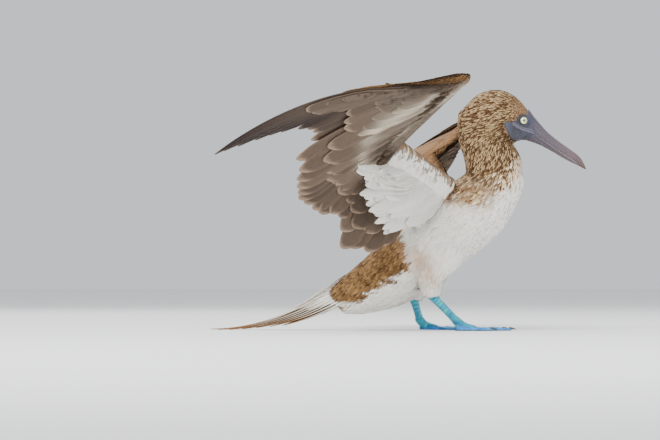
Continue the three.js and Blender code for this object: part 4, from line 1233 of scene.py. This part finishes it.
def armpit_feathers(wing):
    """The long soft white feathers that fan out under the arm."""
    bag = Bag()
    for layer, (count, reach) in enumerate(FAN_LAYERS):
        for i in range(count):
            f = (i + 0.5 * (layer % 2)) / (count - 0.5)
            place = mix(*FAN_PLACES, f)
            root, _, way, across, dorsal = feather_frame(wing, np.float64(place))
            thick = arm_size(place)[2]
            root = root + way * (4 + 8 * layer) + dorsal * (1.5 - thick / 2 - 0.8 * layer)
            tip = row_at(wing["axillary_tips"], np.float64(f))
            share = reach * (1 + 0.14 * (RANDOM.random() - 0.5))
            # Each layer hangs lower than the last, and all hang lower towards the fan's outer end.
            tip = root + (tip - root) * share - dorsal * (0.9 * layer + mix(8, 1, f))
            tip = tip + RANDOM.normal(0, 2.8, 3)
            control = (root + tip) / 2 - dorsal * (4.5 + 1.5 * layer) + RANDOM.normal(0, 1.6, 3)
            feather = vane([root, control, tip], steady(across * FAN_STEP), dorsal, *FAN_HALVES, "plume",
                           stations=18, shaft=0.5, droop=-1.0, ragged=0.14)
            t, u = feather[2:4]
            seed = RANDOM.random()
            # Painted shade: the white is greyed towards the roots and towards the fan's inner end by the
            # body, and the edges stay whiter.
            shade = mix(0.74 + 0.12 * seed, 0.95, smooth(0.3, 1, t))[:, None] * mix(1, 0.88, f)
            tone = mix(WHITE * shade, WHITE, smooth(0.8, 1, np.abs(u))[:, None] * 0.6)
            bag.add_vane(feather, (0.02 + 0.053 * i, 0.03 + 0.32 * layer), (0.048, 0.28), tone, seed)
    return bag


# Tail

# The middle feather's root, the height at which it lies on the floor, and the reaches of all to the rear.
TAIL_ROOT = (-75, 0, 72)
TAIL_FLAT_Z = 1.4
TAIL_REACHES = [190, 180, 164, 145, 125, 106, 88]
# How far each feather lies beside its inner neighbour, at its root and at the longest tip, and how far under.
TAIL_SPREAD = (2.4, 5.4)
TAIL_STACK = 4.4


def tail_line(k, side, reach, over=0.0):
    """A tail feather as a stretch of the parabola on which the middle one bends down to the floor."""
    end = reach / TAIL_REACHES[0]
    height = TAIL_FLAT_Z + (TAIL_ROOT[2] - TAIL_FLAT_Z) * (1 - end) ** 2
    drop = k * (0.85 + 0.075 * height)
    root = vector(*TAIL_ROOT)
    tip = vector(TAIL_ROOT[0] - reach, side * mix(*TAIL_SPREAD, end) * k, max(height - drop, 0.9) + over)
    start = root + vector(0, side * TAIL_SPREAD[0] * k, -TAIL_STACK * k + over)
    middle = vector(TAIL_ROOT[0] - reach / 2, 0, 0)
    middle[2] = TAIL_FLAT_Z + (TAIL_ROOT[2] - TAIL_FLAT_Z) * (1 - end)
    shift = ((start - root) + (tip - vector(tip[0], 0, height))) / 2
    return [start, middle + shift, tip]


def tail_sides():
    """Each tail feather's number outwards from the middle one, its side and its place on the map."""
    for k in range(len(TAIL_REACHES)):
        for side in ((1,) if k == 0 else (1, -1)):
            yield k, side, 0.03 + 0.07 * (2 * k + (side > 0))


def long_tail_feathers(bag):
    """The tail's feathers, the middle one on top and the outer ones shorter and under it."""
    for k, side, map_place in tail_sides():
        seed = RANDOM.random()
        reach = TAIL_REACHES[k]
        end = reach / TAIL_REACHES[0]

        def beside(t, side=side, k=k, end=end):
            slope = -0.7 * (1 - t * end) ** 2 if k else 0 * t
            return np.stack([0 * t, side + 0 * t, slope], 1)

        feather = vane(tail_line(k, side, reach), beside, vector(0, 0, 1), 7 if k else 8.5,
                       min(10.5, 6 * max(k, 1) + 2.5), "pointed", layer=0.0, stations=30, thick=0.7,
                       shaft=1.8, droop=0.5, ragged=0.05)
        points, _, t, u, _ = feather
        points[:, 2] = np.maximum(points[:, 2], 0.15)
        pale = mix(TAIL_PALE, TAIL_BUFF, smooth(0.2, 0.65, t)[:, None])
        base = mix(pale, TAIL_BROWN * (0.75 + 0.3 * seed), min(k / 1.5, 1))
        dark = mix(base, TAIL_BROWN * 0.6, smooth(0.75, 1, t)[:, None] * 0.7)
        edge = mix(TAIL_PALE, TAIL_BUFF, smooth(0.3, 0.8, t)[:, None])
        tone = mix(dark, edge, smooth(0.72, 1, np.abs(u))[:, None] * 0.85)
        bag.add_vane(feather, (map_place, 0.05), (0.06, 0.42), tone, seed)


def tail_coverts(bag):
    """Two rows of white coverts over the tail's root."""
    for k, side, map_place in tail_sides():
        for row, reach in enumerate((74 - 6 * k, 50 - 5 * k)):
            seed = RANDOM.random()
            line = tail_line(k * 1.05, side, max(reach, 24), 2.6 + 2.2 * row)
            feather = vane(line, steady((0, side, -0.6)), vector(0, 0, 1), 8, 9, "pointed", layer=0.0,
                           stations=18, shaft=0.9, droop=1.0, ragged=0.1)
            white = mix(WHITE * 0.95, mix(FLANK_LIGHT, WHITE, 0.5), 0.5 * seed * (k > 2))
            tone = vane_tone(feather[2], feather[3], white * 0.85, WHITE, white)
            bag.add_vane(feather, (map_place, 0.5 + 0.22 * row), (0.06, 0.2), tone, seed)


def tail_feathers():
    bag = Bag()
    long_tail_feathers(bag)
    tail_coverts(bag)
    return bag


# The small feathers of head, neck, body and thighs


# Where the regions of small feathers end: the rump back along the torso, the head's and thigh's heights.
RUMP_START = 14
HEAD_START = 268
THIGH_TOP = 118


def coat_region(points, region):
    """Spacing of small feathers at places on the skin, and none outside the region."""
    x, y, z = points.T
    along, _, out = torso_place(points)
    bare = outside_face(points) < 0.6
    head = z > HEAD_START
    neck = (z > np.interp(x, *zip(*STREAK_RIM)) - 20) & ~head & (np.abs(y) < 48)
    thigh = (z < THIGH_TOP) & (out > 1.02) & (x > 0)
    body = ~head & ~neck & ~thigh & (out < 1.1) & (np.abs(y) < 72)
    spacing = dict(
        head=mix(2.2, 1.5, smooth(150, 176, x)) * head * ~bare,
        neck=mix(2.3, 2.8, smooth(235, 190, z)) * neck,
        torso=3.1 * body * (along <= RUMP_START),
        rump=2.6 * body * (along > RUMP_START),
        thigh=2.7 * thigh * (z > 40),
    )
    return spacing[region].astype(float)


# For each region, where its small feathers change along x or z, and length, width and lift at both ends.
COAT_SIZES = dict(
    head=("x", 146, 178, (10.5, 4.5), (2.3, 1.3), (1.1, 0.35)),
    neck=("z", 262, 205, (9.5, 12.5), (2.2, 3.2), (1.3, 1.4)),
    thigh=("z", 50, 95, (8, 14), (2.6, 3.8), (0.8, 1.1)),
    rump=("z", 50, 95, (12, 12), (3.4, 3.4), (1.2, 1.2)),
    torso=("z", 50, 95, (14, 14), (4.4, 4.4), (1.0, 1.0)),
)


def coat_size(points, region):
    """Length, width and lift of a region's small feathers."""
    axis, low, high, *ends = COAT_SIZES[region]
    share = smooth(low, high, points[:, "xyz".index(axis)])
    return [mix(first, last, share) for first, last in ends]


# The map goes round a standing line above this height, for head and neck, and round the torso's line below.
NECK_MAP_START = 205


def unwrapped(points):
    """A place on the map for places on the skin: distance along the body and the way round it."""
    x, y, z = points.T
    along, up, _ = torso_place(points)
    turn_body = np.arctan2(y, up + 10) / (2 * math.pi) + 0.5
    turn_neck = np.arctan2(y, x - 125) / (2 * math.pi) + 0.5
    high = z > NECK_MAP_START
    u = np.where(high, turn_neck, turn_body)
    v = np.where(high, 0.56 + 0.4 * (z - NECK_MAP_START) / 135, 0.02 + 0.5 * (along + 165) / 330)
    return np.stack([0.01 + 0.98 * u, np.clip(v, 0.005, 0.995)], 1)


def coat_bag(region, skin_points, skin_faces, skin):
    """The small feathers of one region."""
    bag = Bag()
    roots, normals = scatter(skin_points, skin_faces, lambda p: coat_region(p, region))
    ways = lie(roots, normals)
    ways = unit(ways + RANDOM.normal(0, 0.09, ways.shape))
    length, width, lift = coat_size(roots, region)
    vary = RANDOM.uniform(0.85, 1.15, len(roots))
    seeds = RANDOM.random(len(roots))
    wavy = unit(ways + np.cross(normals, ways) * (ripple(roots, 9, 4)[:, None] * 0.16))
    lift = lift * RANDOM.uniform(0.7, 1.2, len(roots))
    points, faces, uv, values = tufts(roots, wavy, normals, length * vary, width * vary, skin, lift, seeds,
                                      unwrapped(roots))
    base, tip = coat_marks(roots)
    if region in ("head", "neck"):
        blend = smooth(0.45, 0.85, values["along"]) * mix(1, 0.2, np.abs(values["across"]))
    else:
        blend = smooth(0.15, 0.85, values["along"])
    bag.add(points, faces, uv, tone=blended(base, tip, blend), **values)
    return bag


# Materials


class Nodes:
    """A material's node tree, with short calls for its usual parts."""

    def __init__(self, name, rough=0.7, specular=0.35):
        self.material = bpy.data.materials.new(name)
        self.material.use_nodes = True
        self.tree = self.material.node_tree
        self.shader = self.tree.nodes["Principled BSDF"]
        self.set("Roughness", rough)
        self.set("Specular IOR Level", specular)

    def set(self, socket, value):
        self.shader.inputs[socket].default_value = value

    def link(self, source, target):
        self.tree.links.new(source, target)

    def add(self, kind, **settings):
        node = self.tree.nodes.new(kind)
        for key, value in settings.items():
            setattr(node, key, value)
        return node

    def value(self, name):
        return self.add("ShaderNodeAttribute", attribute_name=name).outputs["Fac"]

    def colour(self, name):
        return self.add("ShaderNodeAttribute", attribute_name=name).outputs["Color"]

    def put(self, target, source):
        if isinstance(source, (int, float)):
            target.default_value = source
        elif isinstance(source, (tuple, list, np.ndarray)):
            target.default_value = (*source, 1)
        else:
            self.link(source, target)

    def math(self, operation, a, b=0.0, c=0.0, clamp=False):
        node = self.add("ShaderNodeMath", operation=operation, use_clamp=clamp)
        for socket, value in zip(node.inputs, (a, b, c)):
            self.put(socket, value)
        return node.outputs[0]

    def mix(self, fac, a, b, blend="MIX"):
        node = self.add("ShaderNodeMix", data_type="RGBA", blend_type=blend)
        self.put(node.inputs["Factor"], fac)
        for socket, value in ((node.inputs[6], a), (node.inputs[7], b)):
            self.put(socket, value)
        return node.outputs[2]

    def noise(self, scale, detail=4.0, rough=0.55, vector=None):
        """Noise with about as many waves in a metre as its scale."""
        node = self.add("ShaderNodeTexNoise")
        node.inputs["Scale"].default_value = scale
        node.inputs["Detail"].default_value = detail
        node.inputs["Roughness"].default_value = rough
        if vector is None:
            vector = self.add("ShaderNodeTexCoord").outputs["Object"]
        self.link(vector, node.inputs["Vector"])
        return node.outputs["Fac"]

    def ramp(self, fac, *stops):
        node = self.add("ShaderNodeValToRGB")
        ramp = node.color_ramp
        while len(ramp.elements) < len(stops):
            ramp.elements.new(0.5)
        for element, (position, colour) in zip(ramp.elements, stops):
            element.position = position
            element.color = (colour, colour, colour, 1) if np.isscalar(colour) else (*colour, 1)
        self.link(fac, node.inputs["Fac"])
        return node.outputs["Color"]

    def bump(self, height, distance, strength=1.0):
        node = self.add("ShaderNodeBump")
        node.inputs["Strength"].default_value = strength
        node.inputs["Distance"].default_value = distance
        self.link(height, node.inputs["Height"])
        self.link(node.outputs["Normal"], self.shader.inputs["Normal"])

    def coat(self, weight, rough):
        self.set("Coat Weight", weight)
        self.set("Coat Roughness", rough)

    def scaled(self, value, factor, offset=0.0):
        return self.math("MULTIPLY_ADD", value, factor, offset)

    def base(self, colour):
        self.put(self.shader.inputs["Base Color"], colour)
        return self.material

    def shaded(self, colour, shade):
        """The finished material, its colour made darker or lighter by a shade about 1."""
        return self.base(self.mix(1.0, colour, shade, "MULTIPLY"))


# The distance between two fine dark lines along a vane.
BARB_STEP = 3.2


def feather_material(name, rough, barbs):
    """Vane colour from the mesh, with a raised shaft and fine slanting barbs."""
    m = Nodes(name, rough, 0.12)
    across, seed, barb = (m.value(key) for key in ("across", "seed", "barb"))
    wobble = m.noise(60, 2)
    lines = m.math("SINE", m.math("ADD", m.scaled(barb, 2 * math.pi / BARB_STEP), m.scaled(wobble, 5.0)))
    blotch = m.noise(170, 5)
    shade = m.scaled(lines, 0.05 * barbs, 1.0)
    shade = m.math("ADD", shade, m.scaled(blotch, 0.34, -0.17))
    shade = m.math("ADD", shade, m.scaled(seed, 0.16, -0.08))
    shaft = m.math("LESS_THAN", m.math("ABSOLUTE", across), 0.06)
    m.set("Sheen Weight", 0.02)
    m.set("Sheen Roughness", 0.5)
    m.bump(m.math("ADD", m.scaled(lines, 0.5), m.scaled(shaft, 1.2)), 0.0003, 0.45)
    return m.shaded(m.colour("tone"), shade)


def skin_material():
    """The skin under the feathers, with the same markings as they have."""
    m = Nodes("body_skin", 0.85, 0.2)
    shade = m.scaled(m.noise(240, 4), 0.4, 0.72)
    m.bump(m.noise(700, 3), 0.0006, 0.8)
    return m.shaded(m.colour("tone"), shade)


def face_material():
    """Slaty bare skin with paler patches and a pale gape."""
    m = Nodes("bare_face", 0.5, 0.4)
    spots = m.noise(900, 4)
    base = m.mix(m.ramp(spots, (0.35, 0.0), (0.7, 1.0)), SLATE_DARK, SLATE)
    broad = m.mix(m.ramp(m.noise(60, 2), (0.35, 0.0), (0.7, 0.7)), base, paint("595b6c"))
    pale = m.mix(m.scaled(m.value("pale"), 0.55), broad, paint("8f8a9c"))
    m.bump(m.noise(1500, 3), 0.0004, 0.8)
    return m.base(pale)


def bill_material():
    """Horn streaked along the bill and browner at the tip, with a painted highlight along the ridge."""
    m = Nodes("bill_horn", 0.42, 0.45)
    along = m.value("along")
    stretched = m.add("ShaderNodeMapping")
    stretched.inputs["Rotation"].default_value = (0, math.radians(BILL_PITCH), 0)
    stretched.inputs["Scale"].default_value = (0.15, 1, 1)
    m.link(m.add("ShaderNodeTexCoord").outputs["Object"], stretched.inputs["Vector"])
    streaks = m.noise(700, 5, 0.6, stretched.outputs["Vector"])
    base = m.ramp(along, (0, paint("484550")), (0.35, paint("584f59")), (0.75, paint("66585c")),
                  (1, paint("5c4741")))
    # Painted highlight: the top of the upper half is lightened towards its ridge.
    painted_ridge_highlight = m.mix(m.ramp(m.value("ridge"), (0.75, 0.0), (1, 0.75)), base, paint("a298a8"))
    shade = m.scaled(streaks, 0.5, 0.72)
    m.coat(0.15, 0.35)
    m.bump(streaks, 0.0003, 0.7)
    return m.shaded(painted_ridge_highlight, shade)


# The eye's rings of colour are read over this distance from its axis, and the pupil is the first.
EYE_RING = 8
PUPIL_RADIUS = 1.75


def eye_material():
    """A pale yellow-green iris round a small pupil, under a wet cornea."""
    m = Nodes("eyeball", 0.08, 0.5)
    ring = m.math("DIVIDE", m.value("ring"), EYE_RING)
    pupil, edge, rim = (distance / EYE_RING for distance in (PUPIL_RADIUS, 4.7, 5.4))
    black = (0.004, 0.004, 0.005)
    colour = m.ramp(ring, (0, black), (pupil, black), (pupil + 0.03, paint("c9cf98")),
                    (0.42, paint("e6ebc0")), (edge, paint("b9c08c")), (rim, paint("23242c")))
    fleck = m.scaled(m.noise(1600, 4), 0.3, 0.85)
    m.coat(1.0, 0.03)
    return m.shaded(colour, fleck)


def leg_material():
    """Turquoise skin with bands of scutes across the leg."""
    m = Nodes("leg_scutes", 0.42, 0.5)
    wander = m.scaled(m.noise(200, 1), 0.5)
    bands = m.math("FRACT", m.math("ADD", m.scaled(m.value("along"), 0.42), wander))
    rise, fall = m.scaled(bands, 6.0), m.scaled(bands, -6.0, 6.0)
    groove = m.math("SMOOTH_MIN", rise, fall, 0.5)
    groove = m.math("MINIMUM", groove, 1.0)
    patch = m.noise(110, 3)
    base = m.ramp(patch, (0.3, paint("0f7f9e")), (0.5, paint("179cb2")), (0.72, paint("43bbb6")))
    shade = m.scaled(groove, 0.3, 0.7)
    m.coat(0.2, 0.3)
    m.bump(groove, 0.0007, 0.9)
    return m.shaded(base, shade)


def web_material():
    """Blue webs and greener toes, which have bands of scutes across them."""
    m = Nodes("web_skin", 0.45, 0.45)
    toe = m.value("toe")
    bands = m.math("FRACT", m.scaled(m.value("along"), 0.45))
    groove = m.math("MINIMUM", bands, m.math("SUBTRACT", 1.0, bands))
    groove = m.math("MINIMUM", m.scaled(groove, 6.0), 1.0)
    groove = m.math("MAXIMUM", groove, m.math("SUBTRACT", 1.0, toe))
    patch = m.noise(90, 4)
    web = m.ramp(patch, (0.3, paint("3a6cc4")), (0.5, paint("4490dc")), (0.7, paint("6aa8e4")))
    toes = m.ramp(patch, (0.3, paint("1f86b4")), (0.7, paint("49aacd")))
    colour = m.mix(toe, web, toes)
    fine = m.noise(900, 4)
    shade = m.math("ADD", m.scaled(groove, 0.25), m.scaled(fine, 0.3, 0.62))
    m.coat(0.2, 0.35)
    m.bump(m.math("ADD", groove, m.scaled(fine, 0.6)), 0.0005, 0.8)
    return m.shaded(colour, shade)


def claw_material():
    """Dark grey horn."""
    m = Nodes("claw_horn", 0.4, 0.45)
    return m.base(m.ramp(m.noise(400, 3), (0.3, paint("2d2b33")), (0.7, paint("5a565c"))))


# Pieces

SOFT_PLUME = feather_material("soft_plumage", 0.85, 0.8)
VANE_PLUME = feather_material("vane_plumage", 0.72, 1.0)
FACE, BILL_HORN = face_material(), bill_material()
EYE, LEG, WEB, CLAW = eye_material(), leg_material(), web_material(), claw_material()

skin_points, skin_faces = skin_form()
skin = BVHTree.FromPolygons(skin_points.tolist(), [tuple(f[:3]) for f in skin_faces.tolist()])
base, tip = coat_marks(skin_points)
bare = smooth(1.5, -0.5, outside_face(skin_points))[:, None] * (skin_points[:, 2:] > 250)
skin_tone = mix(mix(base, tip, 0.35), SLATE, bare)
skin_piece = piece("skin", skin_points, skin_faces, skin_material(), dict(tone=skin_tone),
                   np.clip(unwrapped(skin_points), 0, 1))
finish_piece(skin_piece, "white_plumage", "torso", "neck", "head", "thigh_right", "thigh_left")

for region, slot in (("head", "streaked_plumage"), ("neck", "streaked_plumage"),
                     ("torso", "white_plumage"), ("rump", "white_plumage"), ("thigh", "white_plumage")):
    coat = coat_bag(region, skin_points, skin_faces, skin)
    finish_piece(coat.make(f"coat_{region}", SOFT_PLUME), slot)

for name, wing in WINGS.items():
    flights = wing_vanes(wing).make(f"wing_{name}_feathers", VANE_PLUME)
    finish_piece(flights, "flight_feathers", *[f"wing_{name}_{part}" for part in ("inner", "arm", "hand")])
    for side, word in ((1, "upper"), (-1, "under")):
        coverts = arm_tufts(wing, side, skin).make(f"wing_{name}_{word}_coverts", SOFT_PLUME)
        finish_piece(coverts, "flight_feathers")
    finish_piece(armpit_feathers(wing).make(f"armpit_{name}", SOFT_PLUME), "axillary_feathers")

finish_piece(tail_feathers().make("tail_feathers", VANE_PLUME), "tail_feathers", "tail")

face_points, face_faces, face_values = face_form()
finish_piece(piece("face", face_points, face_faces, FACE, face_values), "bill")
for upper, word in ((True, "upper"), (False, "lower")):
    points, faces, values = bill_form(upper)
    finish_piece(piece(f"bill_{word}_horn", points, faces, BILL_HORN, values), "bill", f"bill_{word}")
for side, word in ((-1, "right"), (1, "left")):
    points, faces, values = eye_form(side)
    finish_piece(piece(f"eyeball_{word}", points, faces, EYE, values), "eye", f"eye_{word}")
    points, faces, values = lid_form(side)
    finish_piece(piece(f"lids_{word}", points, faces, FACE, values), "bill")

for word, leg in LEGS.items():
    points, faces, values = leg_form(leg)
    finish_piece(piece(f"leg_{word}", points, faces, LEG, values), "leg_skin", f"tarsus_{word}")
    points, faces, values = foot_form(leg)
    finish_piece(piece(f"webbed_foot_{word}", points, faces, WEB, values), "web_skin", f"foot_{word}")
    points, faces = claw_forms(leg)
    finish_piece(piece(f"claws_{word}", points, faces, CLAW), "web_skin")


# Floor, light and camera


FLOOR_COLOUR = (0.78, 0.78, 0.77)
# The floor's radius and height in metres: flat under the bird, with a low glowing rim far off.
FLOOR_PROFILE = [(14, 0), (14.6, 0.05), (15.1, 0.2), (15.5, 0.5), (15.7, 0.9), (15.8, 2)]
HAZE_COLOUR = (0.93, 0.965, 1)
HAZE_STRENGTH = 0.86


def stage_floor():
    """A wide flat floor whose rim glows like a pale haze, far behind every side of the bird."""
    turns = np.linspace(0, 2 * math.pi, 96, endpoint=False)
    corners = [(r * math.cos(a), r * math.sin(a), z) for r, z in FLOOR_PROFILE for a in turns]
    faces = grid_faces(len(FLOOR_PROFILE), len(turns)).tolist()
    rim = np.arange(len(faces) + len(turns)) < len(faces)
    faces += [(len(corners), i, (i + 1) % len(turns)) for i in range(len(turns))]
    corners.append((0, 0, 0))
    mesh = bpy.data.meshes.new("floor")
    mesh.from_pydata(corners, [], faces)
    mesh.materials.append(Nodes("studio_floor", 0.9, 0.2).base(FLOOR_COLOUR))
    haze = Nodes("studio_haze", 1.0, 0.0)
    haze.put(haze.shader.inputs["Emission Color"], HAZE_COLOUR)
    haze.set("Emission Strength", HAZE_STRENGTH)
    mesh.materials.append(haze.base((0.001, 0.001, 0.001)))
    mesh.polygons.foreach_set("material_index", rim.astype(np.int32))
    floor = bpy.data.objects.new("floor", mesh)
    bpy.context.scene.collection.objects.link(floor)


def area_light(name, place, target, size, energy, colour):
    """A soft rectangular light that shines from its place at its target."""
    data = bpy.data.lights.new(name, "AREA")
    data.shape = "RECTANGLE"
    data.size, data.size_y = size
    data.energy = energy
    data.color = colour
    light = bpy.data.objects.new(name, data)
    light.location = place
    light.rotation_euler = (Vector(target) - Vector(place)).to_track_quat("-Z", "Y").to_euler()
    bpy.context.scene.collection.objects.link(light)


# The camera's place and lens, which give the photo's viewing angle: its target, distance, turn round the bird
# and rise, and the width that it sees at the target.
CAMERA_TARGET = (-98, 0, 154)
CAMERA_DISTANCE = 5500
CAMERA_TURN = 4
CAMERA_RISE = -0.77
SEEN_WIDTH = 924
SENSOR_WIDTH = 36
# Each light's name, place, target, size, energy and colour, in metres and watts.
LIGHTS = [
    ("key", (-0.9, -2.6, 2.6), (0, 0, 0.15), (2.0, 1.4), 165, (1, 1, 1)),
    ("fill", (2.4, -2.0, 1.1), (0, 0, 0.15), (2, 1.6), 42, (0.94, 0.97, 1)),
    ("top", (0.2, 0.4, 2.9), (0, 0, 0.1), (2.6, 2.6), 50, (1, 1, 1)),
    ("rim", (-1.6, 2.2, 1.7), (0, 0, 0.2), (1.6, 1.2), 34, (1, 0.97, 0.92)),
]
WORLD_COLOUR = (0.9, 0.93, 0.97, 1)
WORLD_STRENGTH = 1.05

def photo_camera():
    """The camera at the photo's viewing angle."""
    turn, rise = math.radians(CAMERA_TURN), math.radians(CAMERA_RISE)
    away = vector(math.sin(turn) * math.cos(rise), -math.cos(turn) * math.cos(rise), math.sin(rise))
    target = to_scene(vector(*CAMERA_TARGET))
    place = target + away * CAMERA_DISTANCE * MM
    data = bpy.data.cameras.new("camera")
    data.sensor_width = SENSOR_WIDTH
    data.lens = SENSOR_WIDTH * CAMERA_DISTANCE / SEEN_WIDTH
    data.clip_end = 100
    camera = bpy.data.objects.new("camera", data)
    camera.location = place
    camera.rotation_euler = (Vector(target) - Vector(place)).to_track_quat("-Z", "Y").to_euler()
    bpy.context.scene.collection.objects.link(camera)
    bpy.context.scene.camera = camera


stage_floor()
for light in LIGHTS:
    area_light(*light)
world = bpy.data.worlds.new("studio")
world.use_nodes = True
background = world.node_tree.nodes["Background"]
background.inputs["Color"].default_value = WORLD_COLOUR
background.inputs["Strength"].default_value = WORLD_STRENGTH
bpy.context.scene.world = world
photo_camera()
